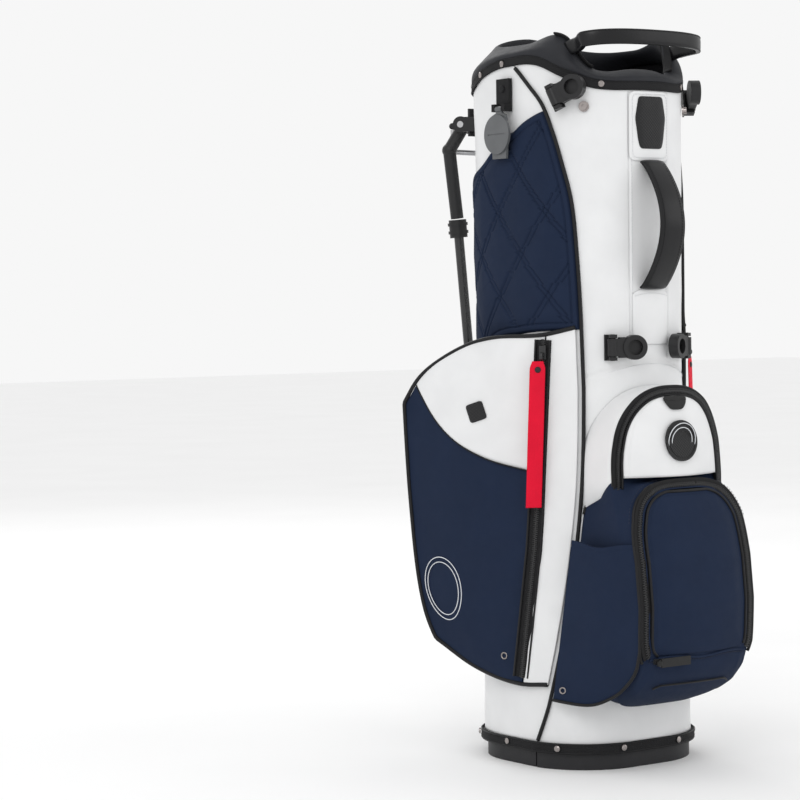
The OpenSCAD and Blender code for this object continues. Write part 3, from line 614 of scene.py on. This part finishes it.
def front_skin():
    s = np.linspace(-1, 1, 201)[:, None]
    top = collar_low(s * seam_u(np.full_like(s, RIM_Z))) + 3
    z = mix(30.0, top, np.linspace(0, 1, 300)[None])
    P = tube(s * (seam_u(z) - 0.3), z)
    x = P[..., 0]
    reach = smooth(z, 478, 486)
    lift = -1.5 * groove(np.abs(x) - 29, 1.3) * reach
    hem = 481 - 20 * (x / 80) ** 2
    lift -= 1.4 * groove(z - hem, 1.7) + 0.5 * groove(z - hem + 9, 1.2)
    lift += 0.9 * ripple(P, 90, 3) * smooth(z, 60, 110) * (1 - smooth(z, 440, 520)) + 0.25 * ripple(P, 40, 4)
    lift -= 0.6
    piece = panel("front_skin", P, WHITE, "bag", lift=lift, thick=1.8)
    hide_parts("front_panel")
    zs = np.linspace(484, 714, 200)
    for name, side in LEFT_RIGHT:
        path, out = line_on(on_front, side * 26.3 + 0 * zs, zs, -0.35)
        stitches(f"front_seam_stitching_{name}", path, out, WHITE_THREAD, "white_skin")
    xs = np.linspace(-78, 78, 120)
    path, out = line_on(on_front, xs, 477 - 20 * (xs / 80) ** 2, -0.3)
    stitches("front_hem_stitching", path, out, WHITE_THREAD, "white_skin")


def rear_skin():
    s = np.linspace(0, 1, 261)[:, None]
    top = collar_low(mix(seam_u(RIM_Z), 360 - seam_u(RIM_Z), s)) + 3
    z = mix(30.0, top, np.linspace(0, 1, 240)[None])
    first = seam_u(z) + 0.3
    P = tube(mix(first, 360 - first, s), z)
    lift = 0.3 * ripple(P, 55, 8) - 0.7 - 0.8 * groove(P[..., 0], 1.3)
    piece = panel("rear_skin", P, WHITE, "bag", lift=lift, thick=1.8)
    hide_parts("rear_panel")
    zs = np.linspace(60, 795, 300)
    for name, side in LEFT_RIGHT:
        path = tube(180 + 0 * zs, zs, -0.5) + np.array([side * 3, 0, 0])
        stitches(f"rear_seam_stitching_{name}", path, toward(path, 0, 1, 0), WHITE_THREAD, "white_skin")


def lining():
    u = np.linspace(0, 360, 181)[:-1, None]
    z = mix(42.0, collar_low(u) + 9, np.linspace(0, 1, 70)[None])
    P = tube(u, z, -2.9)
    lift = 0.25 * ripple(P, 30, 5) - 0.4
    panel("tube_lining", P, FLEECE, "bag", lift=lift, thick=0.8, wrap=True)


def quilt(side_name, side):
    """Padded side panel, sewn in diamonds with double lines."""
    s = np.linspace(0, 1, 230)[:, None]
    low_u, high_u = mix(50, 138, s), mix(66, 138, s)
    high = curve(high_u, (64, 776), (72, 772), (84, 762), (91, 752), (98, 739), (110, 720), (127, 706),
                 (140, 690))
    low = curve(low_u, (48, 519), (100, 507), (112, 490), (124, 472), (140, 440))
    t = np.linspace(0, 1, 290)[None]
    z = mix(low, high, t)
    P = tube(mix(seam_u(z) + 1.2, 138, s), z, 0.6)
    du = np.linalg.norm(np.diff(P, axis=0), axis=-1)
    run = np.concatenate([np.zeros((1, P.shape[1])), np.cumsum(du, 0)])
    middle = np.take_along_axis(run, np.abs(P[..., 1]).argmin(0)[None], 0)
    a = run - middle + 14
    wide, tall = 84.0, 100.0
    scale = 1 / math.hypot(1 / wide, 1 / tall)
    lines = [a / wide + (z - 608) / tall, a / wide - (z - 608) / tall]
    away = [np.abs(v - np.round(v)) * scale for v in lines]
    edge = np.minimum(np.minimum(run, run[-1:] - run), np.minimum(z - low, high - z))
    border = smooth(edge, 0, 3)
    puff = np.minimum(away[0], away[1])
    lift = border * (2.9 + 1.9 * np.sqrt(np.clip(puff / 26, 0, 1)) * smooth(edge, 8, 22))
    for d in away:
        lift -= 1.7 * groove(d - 3, 1.0) * smooth(edge, 7.5, 9)
    lift -= 1.6 * groove(edge - 8.5, 1.1)
    lift += 0.16 * ripple(P, 22, 12) * border
    piece = panel(f"quilt_{side_name}", P, NAVY, "bag", lift=lift, thick=1.0, side=side)
    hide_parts(f"quilted_panel_{side_name}")


def piping_run(name, path, facing, body="bag", r=2.0, closed=False, side=1):
    return sweep(name, path, facing, round_section(r), PIPING, body, closed=closed, side=side)


def seam_pipings():
    z = np.linspace(33, 828, 260)
    path = tube(seam_u(z), z, 1.3 + 1.2 * smooth(z, 280, 330) * smooth(-z, -540, -510))
    for name, side in LEFT_RIGHT:
        piece = piping_run(f"seam_piping_{name}", path, tube(seam_u(z), z, 5) - path, r=2.3, side=side)
        if side == 1:
            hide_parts("seam_piping")


# ---------- base ----------


def square_loop(half):
    """The base's outline: a square with round corners, and its outward directions."""
    flat = half - BASE_CORNER
    pts, out = [], []
    for quarter, (x, y) in enumerate(((1, 1), (-1, 1), (-1, -1), (1, -1))):
        for a in np.radians(np.linspace(quarter * 90, quarter * 90 + 90, 40)):
            way = np.array([np.cos(a), np.sin(a)])
            pts.append(np.array([flat * x, flat * y]) + BASE_CORNER * way)
            out.append(way)
    return np.array(pts), np.array(out)


def base_band():
    pts, out = square_loop(115.8)
    ways = np.column_stack([out, np.zeros(len(out))])

    def level(grow, z):
        return np.column_stack([pts + out * grow, np.full(len(pts), z)])

    section = flat_section(12.6, 2.6, power=5, points=28, lift=0.8)
    piece = sweep("base_band", level(0, 25.5), ways, section, WEBBING, "bag", closed=True)
    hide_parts("base_trim_band")
    for name, z in (("low", 20.6), ("high", 30.6)):
        piping_run(f"base_band_bead_{name}", level(1.6, z), ways, r=0.8, closed=True)
    for name, z in (("low", 23.0), ("high", 28.4)):
        stitches(f"base_band_stitching_{name}", level(2.1, z), ways, PIPING, "trim_band", pitch=4.2,
                 length=3.0, r=0.35)


# ---------- collar ----------


def collar_band():
    u = np.arange(0, 360, 1.5)
    mid = tube(u, COLLAR_Z, 0.4)
    mid[:, 2] = collar_low(u) + 5.3
    n = tube(u, COLLAR_Z, 1.4) - tube(u, COLLAR_Z, 0.4)
    section = flat_section(10.6, 2.4, power=4, points=24, lift=0.2)
    piece = sweep("collar_band", mid, n, section, WEBBING, "bag", closed=True)
    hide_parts("collar_frame")
    ways = np.vstack([n, n[:1]])
    for name, dz in (("low", 1.4), ("high", 9.3)):
        row = mid.copy()
        row[:, 2] = collar_low(u) + dz
        path = np.vstack([row, row[:1]]) + ways * 1.3
        stitches(f"collar_stitching_{name}", path, ways, PIPING, "trim_band", pitch=4, length=2.8, r=0.35)


def collar_pad():
    u = np.arange(0, 360, 1.5)
    lo, hi = collar_low(u) + 10.4, collar_high(u)
    back = (1 - np.cos(np.radians(u))) / 2
    stations = ((0.8, 0, 0), (2.0, 0.32, 0.15), (-1.0, 0.62, 0.6), (-5.2, 0.84, 0.9), (-9.8, 0.99, 1),
                (-13.4, 0.97, 1), (-14.2, 0.6, 0.7), (-7, 0, 0))
    rows = []
    for out, up, lean in stations:
        p = tube(u, COLLAR_Z, out - lean * (4 + 14 * back))
        p[:, 2] = mix(lo, hi, up)
        rows.append(p)
    P = loop_smooth(np.stack(rows, 1), 6)
    P += 0.35 * ripple(P, 35, 21)[..., None] * np.array([1, 1, 0.4])
    piece = closed_loft("collar_pad", P, NEOPRENE)
    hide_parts("collar_padding")
    crest = rows[4][24:44]
    path = along(crest + np.array([0, 0, 0.4]), 2)
    way = toward(path, *(crest * np.array([-0.004, -0.004, 0]) + [0, 0, 1]).mean(0))
    section = flat_section(12, 3.0, power=3)
    for name, side in LEFT_RIGHT:
        sweep(f"collar_binding_{name}", path, way, section, WEBBING, "bag", side=side)


def dividers():
    bars = [((-96, -38), (96, -38)), ((-96, 38), (96, 38)), ((0, -38), (0, 114))]
    for i, (a, b) in enumerate(bars):
        path = mix(np.array([*a, DIVIDER_Z]), np.array([*b, DIVIDER_Z]), np.linspace(0, 1, 60)[:, None])
        piece = sweep(f"divider_bar_{i + 1}", path, toward(path, 0, 0, 1),
                      flat_section(8.6, 12.4, power=3, points=24), FLEECE, "bag")
    path = tube(np.arange(0, 360, 2.0), 800.0, -6.2)
    path[:, 2] = DIVIDER_Z
    ring_section = flat_section(6.4, 12.4, power=3)
    ring_piece = sweep("divider_ring", path, toward(path, 0, 0, 1), ring_section, FLEECE, "bag",
                       closed=True)
    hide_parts("divider_grid")
    walls = [("front", (-91, -38), (91, -38)), ("rear", (-91, 38), (91, 38)),
             ("middle", (0, -36.6), (0, 36.6)), ("back", (0, 39.4), (0, 109))]
    for i, (name, a, b) in enumerate(walls):
        a, b = np.array(a, float), np.array(b, float)
        s, z = np.linspace(0, 1, 40)[:, None], np.linspace(47, 783.5, 90)[None]
        P = xyz(a[0] + (b - a)[0] * s, a[1] + (b - a)[1] * s, z)
        side_way = np.array([-(b - a)[1], (b - a)[0], 0]) / np.linalg.norm(b - a)
        P = P + side_way * (1.3 * np.sin(np.pi * s) * ripple(P, 150, 40 + i))[..., None]
        wall = panel(f"divider_wall_{name}", P, FLEECE, "bag", thick=1.2,
                     centre=(3, 500, None))
        if i == 0:
            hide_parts("divider_sheets")


def carry_handle():
    a = np.radians(np.linspace(-90, 90, 121))
    s, c = np.sin(a), np.maximum(np.cos(a), 0)
    path = xyz(93 * spow(s, 0.8), -78.5 - 59.5 * c ** 0.55, 847.5 + 10.5 * c ** 0.4)
    path += smooth(np.abs(s), 0.94, 1)[:, None] * xyz(-14 * np.sign(s), 9, -2)
    n = xyz(s, -0.35 - np.cos(a), 0)
    section = flat_section(18, 7.4, power=3.4, points=32)
    piece = sweep("carry_handle", path, n, section, BLACK_LEATHER, "bag")
    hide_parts("top_handle")
    inner = slice(5, -5)
    way = unit(n)[inner]
    for name, dz in (("low", -7.6), ("high", 7.6)):
        piping_run(f"carry_handle_edge_{name}", path[inner] + way * 2.6 + [0, 0, dz], way, r=1.1)


# ---------- front ----------


def spine_handle():
    t = np.linspace(0, 1, 90)
    z = mix(713.5, 566.5, t)
    half = mix(17, 19, t)
    path = xyz(0, on_front(0, z, 3.4)[:, 1] - 36 * np.sin(np.pi * t) ** 0.8, z)
    n = np.cross(directions(path), toward(path, 1, 0, 0))
    n = n * np.sign(-n[:, 1])[:, None]
    across, out = flat_section(2, 5.8, power=2.6, points=36).T
    P = path[:, None] + xyz(across * half[:, None], n[:, 1:2] * out, n[:, 2:3] * out)
    piece = make("spine_grip", P, capped(*P.shape[:2]), BLACK_LEATHER, "bag")
    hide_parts("spine_handle")
    for name, side in LEFT_RIGHT:
        piping_run(f"spine_grip_edge_{name}", path + xyz(side * (half - 0.6), 0, 0), n, r=1.5)
        row = path + xyz(side * (half - 4.5), 0, 0) + n * 2.7
        stitches(f"spine_grip_stitching_{name}", row[3:-3], n[3:-3], PIPING, "black_leather", pitch=3.4,
                 length=2.4, r=0.35)


def front_patches():
    white_patch = {"edge": 0.6, "material": WHITE, "body": "bag", "slot": "white_skin"}
    small = {"pitch": 3.2, "length": 2.2, "r": 0.34}
    surround = rounded([(-30, 715), (30, 715), (30, 796), (-30, 796)], 9)
    piece = patch("patch_surround", surround, on_front, 2.6, thick=2.2, **white_patch)
    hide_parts("patch_frame")
    inner = rounded([(-26.5, 718.5), (26.5, 718.5), (26.5, 792.5), (-26.5, 792.5)], 7)
    path, out = line_on(on_front, *inner.T, 2.3)
    stitches("patch_surround_stitching", path, out, WHITE_THREAD, "white_skin", **small)
    corners = [(-16, 729), (16, 729), (19, 738), (23, 765), (18, 790), (-18, 790), (-23, 765), (-19, 738)]
    hexagon = rounded(corners, 4)
    piece = patch("hexagon_patch", hexagon, on_front, 5.2, CARBON, "bag", "emblem", edge=0.35, thick=3.0)
    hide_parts("name_patch")
    anchor = rounded([(-27, 500), (27, 500), (27, 560), (14, 565), (-14, 565), (-27, 560)], 4)
    piece = patch("grip_anchor", anchor, on_front, 2.4, thick=2.0, **white_patch)
    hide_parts("handle_anchor")
    hem = np.linspace(-24, 24, 40)
    path, out = line_on(on_front, hem, 560 - 3 * (hem / 24) ** 2, 2.3)
    stitches("grip_anchor_stitching", path, out, WHITE_THREAD, "white_skin", **small)


# ---------- side pockets ----------


def side_pocket(name, side):
    q = np.linspace(0, 1, 120)[:, None]
    s = ZIP_SHARE + (1 - ZIP_SHARE) * q
    seam = two_tone(s)
    tones = (("lower", NAVY, "navy_skin", side_low(s), seam, 130),
             ("upper", WHITE, "white_skin", seam, side_high(s), 80))
    for tone, material, slot, low, high, count in tones:
        z = mix(low, high, np.linspace(0, 1, count)[None])
        P = at_height(s, z)
        lift = 0.9 * ripple(P, 110, 60) * smooth(q, 0, 0.1) * smooth(1 - q, 0, 0.1)
        lift += 0.25 * ripple(P, 38, 61) - 0.4 - 1.2 * groove(z - seam, 2.6)
        piece = panel(f"side_pocket_{tone}_{name}", P, material, "bag", lift=lift, thick=1.6,
                      centre=(60, 40, None), side=side)
        if tone == "lower":
            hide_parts(f"side_pocket_{name}")
    P = on_side(np.linspace(0, 0.185, 24)[:, None], np.linspace(0, 1, 200)[None], 0.2)
    panel(f"side_strip_{name}", P, WHITE, "bag", lift=0.2 * ripple(P, 45, 62), thick=1.6,
          centre=(40, 40, None), side=side)
    ss = np.linspace(ZIP_SHARE, 0.97, 100)
    path = at_height(ss, two_tone(ss), -0.6)
    piping_run(f"side_tone_seam_{name}", path, at_height(ss, two_tone(ss), 0.4) - path, r=0.8, side=side)
    # the outline, from the seam over the top, down the rear and back along the bottom
    tops = np.linspace(0.0, 1, 110)
    rear = on_side(np.ones(70), np.linspace(0.985, 0.015, 70))
    outline = np.vstack([on_side(tops, 1.0), rear, on_side(tops[::-1], 0.0)])
    share = np.concatenate([tops, np.ones(70), tops[::-1]])
    inner = tube(mix(seam_u(outline[:, 2]) + 4, 142, share), outline[:, 2], 1.2)
    w = np.linspace(0, 1, 26)[None, :, None]
    wall = outline[:, None] * (1 - w) + inner[:, None] * w
    middle = np.array([125.0, 30, 300])
    wall = wall + unit(middle - wall) * (2.5 * np.sin(np.pi * w))
    for tone, rows, material, slot in (("top", slice(0, 116), WEBBING, "black_trim"),
                                       ("rear", slice(115, 290), NAVY, "navy_skin")):
        panel(f"side_gusset_{tone}_{name}", wall[rows], material, "bag", thick=1.2, centre=middle,
              side=side)
    path = along(outline, 4)
    piping_run(f"side_pocket_piping_{name}", path, path - middle, r=2.6, side=side)
    path = on_side(ZIP_SHARE, np.linspace(0.02, 0.985, 160), 0.6)
    out = toward(path, 0.85, -0.53, 0)
    tape = sweep(f"side_zip_tape_{name}", path, out, flat_section(19, 1.6, power=5), WEBBING, "bag",
                 side=side)
    if side == 1:
        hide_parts("side_zippers")
    zip_teeth(f"side_zip_teeth_{name}", path + out * 0.9, out, side=side)
    for edge, k, r in (("rear", -9.4, 1.5), ("front", 7.8, 1.2)):
        beside = path + np.cross(out, directions(path)) * k + out * 1.9
        piping_run(f"side_zip_bead_{edge}_{name}", beside, out, r=r, side=side)
    ring(f"eyelet_{name}", lambda a: at_height(0.37, 130 + 0 * a, 0.4) + ring_plane(a, 3.6, (0.93, -0.36, 0)),
         0.95, GUNMETAL, side)
    square = rounded([(6, -14), (13.5, 7), (-6, 14), (-13.5, -7)], 3.5)

    def badge_face(x, z, out_by):
        return flip(at_height(0.545 + x / 215, 421 + z, out_by - 0.2), side)

    patch(f"side_badge_{name}", square, badge_face, 2.0, CARBON, "bag", "emblem", thick=1.8, rings=8)
    for i, r in enumerate((38, 32)):
        ring(f"side_print_{name}_{i + 1}",
             lambda a, r=r: at_height(0.805 + r * np.cos(a) / 262, 205 + r * np.sin(a), 0.05), 0.55, PRINT,
             side)


def ring_plane(a, r, normal):
    """A circle about the origin in an upright plane."""
    u = unit(np.cross(unit(np.array(normal, float)), UP))
    return r * (np.cos(a)[:, None] * u + np.sin(a)[:, None] * UP)


def ring(name, where, r, material, side=1, body="bag"):
    a = np.linspace(0, 2 * np.pi, 73)[:-1]
    path = where(a)
    facing = path - path.mean(0)
    return sweep(name, path, facing, round_section(r, 8), material, body, closed=True, side=side)


def ribbon(name, side):
    """Woven pull that hangs from the zip, with a rivet near its top."""
    turn = math.radians(35)
    across = np.array([math.cos(turn), math.sin(turn), 0])
    out = np.array([math.sin(turn), -math.cos(turn), 0])
    top = np.array([120.0, -60.0, 482.0])
    s, t = np.linspace(-0.5, 0.5, 14)[:, None], np.linspace(0, 1, 110)[None]
    neck = 1 - 0.28 * np.exp(-((t / 0.03) ** 2))
    sway = 1.6 * np.sin(4.2 * t + 0.6) * t + 0.5 * np.cos(math.pi * s) * np.sin(9 * t)
    fall = 172 * t + 0 * s
    aside = 18.5 * s * neck + 6.6 * t
    P = top + across * aside[..., None] + out * (sway + 0.2)[..., None] - UP * fall[..., None]
    piece = panel(f"red_ribbon_{name}", P, RED, f"{name}_ribbon", thick=1.1,
                  centre=(60, 40, None), side=side)
    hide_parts(f"ribbon_{name}")
    a = np.linspace(0, 2 * np.pi, 33)[:-1]
    disc = np.cos(a)[:, None] * across + np.sin(a)[:, None] * UP
    head = [top - 10 * UP + out * (lift + 0.3) + r * disc
            for r, lift in ((0.2, 2.0), (2.0, 1.9), (3.2, 1.4), (3.7, 0.5), (3.7, -0.6))]
    faces = grid_faces(len(head), 32, False, True) + [list(range(32))]
    make(f"ribbon_rivet_{name}", flip(np.array(head), side), faces, PLASTIC, f"{name}_ribbon")


# ---------- valuables pocket ----------


def valuables():
    a = np.linspace(0, 180, 181)
    ox, oz = val_arch(a, 0)
    rows = [on_front(ox * 0.965, oz, 0.6), xyz(ox, val_y(ox, oz) + 6, oz)]
    for inset, dy in ((1.0, 2.2), (3.2, 0.3)):
        x, z = val_arch(a, inset)
        rows.append(xyz(x, val_y(x, z) + dy, z))
    shell = np.stack(rows, 1)
    depth = np.linspace(0, 1, 34)
    stations = (0, 0.8, 0.93, 1.0)
    P = [[np.interp(depth, stations, row[:, k]) for k in range(3)] for row in shell]
    P = np.array(P).transpose(0, 2, 1)
    drop = xyz(0, 0, np.linspace(38, 12, len(depth)))
    P = np.concatenate([P[:1] - drop, P, P[-1:] - drop])
    piece = panel("valuables_gusset", P, WHITE, "bag", lift=0.25 * ripple(P, 35, 70) - 0.3,
                  thick=1.6, centre=(0, -110, 380))
    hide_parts("valuables_pocket")

    def arch(inset, out, pitch):
        x, z = val_arch(a, inset)
        p = xyz(x, val_y(x, z) - out, z)
        return along(np.vstack([p[:1] - [0, 0, 12], p, p[-1:] - [0, 0, 12]]), pitch)

    path = arch(5.6, 0.2, 2.0)
    sweep("valuables_zip_tape", path, toward(path, 0, -1, 0.05), flat_section(11.4, 2.4, power=4), WEBBING,
          "bag")
    for name, inset, r in (("outer", 0.9, 1.5), ("inner", 10.6, 1.4)):
        rim = arch(inset, 0.6, 2.0)
        piping_run(f"valuables_bead_{name}", rim, toward(rim, 0, -1, 0.05), r=r)
    teeth = arch(6.2, 1.6, 1.0)
    zip_teeth("valuables_zip_teeth", teeth, toward(teeth, 0, -1, 0))
    s, t = np.linspace(-1, 1, 130)[:, None], np.linspace(0, 1, 100)[None]
    turn = np.linspace(0, 86, 100)[None]
    x0, z0 = val_arch(turn, 12.4)
    x, z = s * np.abs(x0), z0 + 0.8
    P = xyz(x, val_y(x, z) - 3 * np.cos(np.pi / 2 * s) * np.cos(np.radians(turn)), z)
    edge = np.minimum(1 - np.abs(s), 1 - t) * 60
    lift = 0.45 * ripple(P, 60, 71) * smooth(edge, 0, 15) - 0.8 * groove(edge - 4, 1.2)
    door = panel("valuables_front", P, WHITE, "valuables_flap", lift=lift, thick=2.2,
                 centre=(0, -110, 380))
    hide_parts("valuables_door")
    middle = np.array([0, val_y(0, 388.0) - 5.9, 388])
    for i, r in enumerate((20.6, 15.5)):
        ring(f"emblem_print_{i + 1}",
             lambda a, r=r: middle + r * xyz(np.cos(a), -0.1045 * np.sin(a), 0.9945 * np.sin(a)), 0.5, PRINT,
             body="valuables_flap")
    tab = rounded([(-17, 440), (17, 440), (17, 434), (9, 424), (-9, 424), (-17, 434)], 5)
    patch("valuables_tab", tab, lambda x, z, out: xyz(x, val_y(x, z) - 2.4 - out, z), 2.0, RUBBER,
          "valuables_flap", "black_trim", thick=2.0)


# ---------- ball pocket ----------


def ball_pocket():
    a = np.arange(0, 360, 2.0)
    ox, oz = ball_ring(a, 0)
    wx, wz = ball_ring(a, 3)
    dx, dz = door_ring(a, -2)
    y = ball_y(ox, oz)
    mid_x, mid_z = mix(ox, dx, 0.2), mix(oz, dz, 0.2)
    half_x, half_z = mix(ox, dx, 0.6), mix(oz, dz, 0.6)
    root, rim = ball_root(a, 0.8), xyz(ox, y + 16, oz)
    square = rim.copy()
    square[:, 0] = 88.5 * spow(np.cos(np.radians(a)), 0.18)
    square[:, 2] = 215 + 134 * spow(np.sin(np.radians(a)), 0.18)
    square = mix(rim, square, smooth(oz, 225, 275)[:, None])
    rows = [
        root,
        mix(root, square, 0.4),
        mix(root, square, 0.8) * [0, 1, 0] + square * [1, 0, 1],
        rim,
        xyz(mid_x, ball_y(ox, mid_z) + 3, mid_z),
        xyz(half_x, ball_y(half_x, half_z) + 0.6, half_z),
        xyz(dx, ball_y(dx, dz), dz),
        xyz(dx, ball_y(dx, dz) + 3, dz),
        xyz(mix(wx, dx, 0.2), ball_y(ox, mid_z) + 7, mix(wz, dz, 0.2)),
        xyz(wx, y + 19, wz),
        xyz(wx * 0.88, on_front(ox * 0.86, oz, 0.8)[:, 1], wz),
    ]
    P = loop_smooth(np.stack(rows, 1), 5)
    keep = 0.8 * ripple(P, 60, 80)[..., None] * (P - np.array([0, -150, 210])) / 120
    P = P + keep * smooth(np.abs(P[..., 1] + 140), 0, 45)[..., None] * 0.6
    P[..., 2] = np.maximum(P[..., 2], 75.5)
    piece = closed_loft("ball_pocket_shell", P, NAVY)
    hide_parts("ball_pocket")

    def door_path(inset, out, pitch, first=-45, last=225):
        x, z = door_ring(np.linspace(first, last, 220), inset)
        return along(xyz(x, ball_y(x, z) - out, z), pitch)

    path = door_path(-7.4, 0.4, 2)
    sweep("ball_zip_tape", path, toward(path, 0, -1, 0), flat_section(15.5, 1.8, power=5), WEBBING, "bag")
    path = door_path(-7.5, 1.4, 1)
    zip_teeth("ball_zip_teeth", path, toward(path, 0, -1, 0), pitch=2.8)
    path = door_path(-14.6, 0.6, 2)
    piping_run("ball_zip_piping", path, toward(path, 0, -1, 0), r=1.9)
    path = door_path(-19.5, 0.5, 1.5, 20, 160)
    stitches("ball_arch_stitching", path, toward(path, 0, -1, 0.3), NAVY_THREAD, "navy_skin", pitch=4.2,
             length=2.2, r=0.4)
    s, t = np.linspace(-1, 1, 150)[:, None], np.linspace(0, 1, 160)[None]
    low, high, half = 144.5, 330.5, 72.5
    z = mix(low, high, 1 - (1 - t) ** 1.6) + 0 * s
    arched = np.maximum(1 - np.maximum((z - DOOR_MIDDLE) / DOOR_UP, 0) ** 3.33, 0) ** 0.3
    tall = np.where(z < DOOR_MIDDLE, 1 - 0.12 * np.exp(-(z - 144) / 5), arched)
    x = s * half * tall
    P = xyz(x, ball_y(x, z) - 1.5 * np.cos(np.pi / 2 * s), z)
    edge = np.minimum((1 - np.abs(s)) * half * tall, np.minimum(z - low, (high - z) * 1.2))
    full = smooth(edge, 0, 26)
    lift = 3.4 * full + 0.55 * ripple(P, 70, 81) * full - 0.5 * groove(edge - 5, 1.3)
    door = panel("ball_front", P, NAVY, "ball_flap", lift=lift, thick=2.4, centre=(0, -110, 230))
    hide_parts("ball_door")
    path = along(np.vstack([P[0], P[1:-1, -1], P[-1][::-1]])[::3] + [0, -0.8, 0], 2.5)
    piping_run("ball_front_piping", path, toward(path, 0, -1, 0), body="ball_flap", r=1.7)

    def lip(x, z, out):
        return xyz(x, ball_y(x, z) - out, z)

    xs = np.linspace(-74, 74, 120)
    wave = 1.6 * np.cos(xs / 14)
    front = toward(xs, 0, -1, 0)
    stitches("ball_lip_stitching", lip(xs, 138.5 - wave, 1.1), front, NAVY_THREAD, "navy_skin", pitch=4,
             length=2.6)
    sweep("ball_lip_hem", lip(xs, 141.0 - wave, 0.5), front, round_section(1.6), NAVY, "bag")
    arc = np.linspace(-58, 58, 140)
    low = lip(arc, 108 - 14 * smooth(np.abs(arc), 46, 80), 1.1)
    piping_run("ball_under_seam", low, toward(low, 0, -1, 0), r=1.1)
    rim = along(ball_root(np.linspace(20, 160, 400), 2.2), 2.5)
    piping_run("ball_back_piping", rim, toward(rim, 0, 0, 1), r=1.9)


def sleeve(name, side):
    back = 0 if side < 0 else 9
    s, t = np.linspace(0, 1, 70)[:, None], np.linspace(0, 1, 120)[None]

    def low_edge(share):
        return mix(80 + 52 * np.exp(-share / 0.105), 84, share)

    def face(share, z, out):
        x = mix(87.4, lookup(z, (80, 113), (272, 105)), share) + 5 * np.sin(np.pi * share)
        return xyz(x, mix(ball_y(88.0, z) + back - out, lookup(z, (80, -72), (272, -100)), share), z)

    P = face(s, mix(low_edge(s), 273 - 4 * np.sin(np.pi * s) + 1.2 * np.sin(9 * s), t), 0)
    lift = 0.9 * ripple(P, 48, 90) * np.sin(np.pi * s) - 0.7 * groove((1 - t) * 180 - 6, 1.4)
    piece = panel(f"sleeve_{name}", P, NAVY, "bag", lift=lift, thick=2.0, centre=(60, -90, None),
                  side=side)
    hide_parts(f"sleeve_pocket_{name}")
    across = np.linspace(0, 1, 60)
    front = face(0, np.linspace(272, 132, 100), 1)
    path = along(np.vstack([front, face(across, low_edge(across), 1)]), 2.5)
    piping_run(f"sleeve_piping_{name}", path, path - np.array([60, -100, 200]), r=1.9, side=side)
    middle = np.array([111.7, -89, 97])
    ring(f"sleeve_eyelet_{name}", lambda a: middle + ring_plane(a, 3.4, (0.85, -0.5, 0)), 0.9, GUNMETAL,
         side)


front_skin()
rear_skin()
lining()
seam_pipings()
base_band()
collar_band()
collar_pad()
dividers()
carry_handle()
spine_handle()
front_patches()
for side_name, side_sign in LEFT_RIGHT:
    quilt(side_name, side_sign)
    side_pocket(side_name, side_sign)
    ribbon(side_name, side_sign)
    sleeve(side_name, side_sign)
valuables()
ball_pocket()

# ---------- studio ----------


def camera():
    """Long lens on the three-quarter view, a little above the bag's middle, aimed left of the bag's axis."""
    turn, far, height = math.radians(40), 3.137, 0.5566
    aside, down = 0.0715, 0.0392
    right = Vector((math.cos(turn), -math.sin(turn), 0))
    ahead = Vector((math.sin(turn), math.cos(turn), 0))
    aim = (ahead - right * aside - Vector((0, 0, 1)) * down).normalized()
    data = bpy.data.cameras.new("camera")
    data.lens, data.sensor_width, data.clip_end = 115.75, 36, 50
    obj = bpy.data.objects.new("camera", data)
    bpy.context.scene.collection.objects.link(obj)
    obj.location = -ahead * far + Vector((0, 0, height))
    roll = Matrix.Rotation(math.radians(-0.8), 4, "Z")
    obj.rotation_euler = (aim.to_track_quat("-Z", "Y").to_matrix().to_4x4() @ roll).to_euler()
    bpy.context.scene.camera = obj


def light(name, place, aim, size, watts):
    data = bpy.data.lights.new(name, "AREA")
    data.shape, data.size, data.energy = "DISK", size, watts
    obj = bpy.data.objects.new(name, data)
    bpy.context.scene.collection.objects.link(obj)
    obj.location = place
    obj.rotation_euler = (Vector(aim) - Vector(place)).to_track_quat("-Z", "Y").to_euler()


def studio():
    world = bpy.data.worlds.new("studio")
    world.use_nodes = True
    world.node_tree.nodes["Background"].inputs["Color"].default_value = (1, 1, 1, 1)
    world.node_tree.nodes["Background"].inputs["Strength"].default_value = 0.93
    bpy.context.scene.world = world
    bpy.context.scene.view_settings.view_transform = "Standard"
    middle = (0, 0, 0.45)
    light("key", (-2.6, -2.2, 2.6), middle, 1.8, 26)
    light("fill", (2.6, -2.6, 1.6), middle, 2.2, 10)
    light("rim", (0.6, 2.8, 2.4), middle, 1.8, 18)
    mesh = bpy.data.meshes.new("floor")
    reach = 14
    corners = [(-reach, -reach, 0), (reach, -reach, 0), (reach, reach, 0), (-reach, reach, 0)]
    mesh.from_pydata(corners, [], [(0, 1, 2, 3)])
    floor = bpy.data.objects.new("floor", mesh)
    bpy.context.scene.collection.objects.link(floor)
    paper = Look("pale_paper", (0.93, 0.93, 0.93), 0.95, specular=0.1)
    paper.add(paper.noise(200, 3.0), 0.02)
    mesh.materials.append(paper.finish(shade=0.01, shade_scale=3))


camera()
studio()
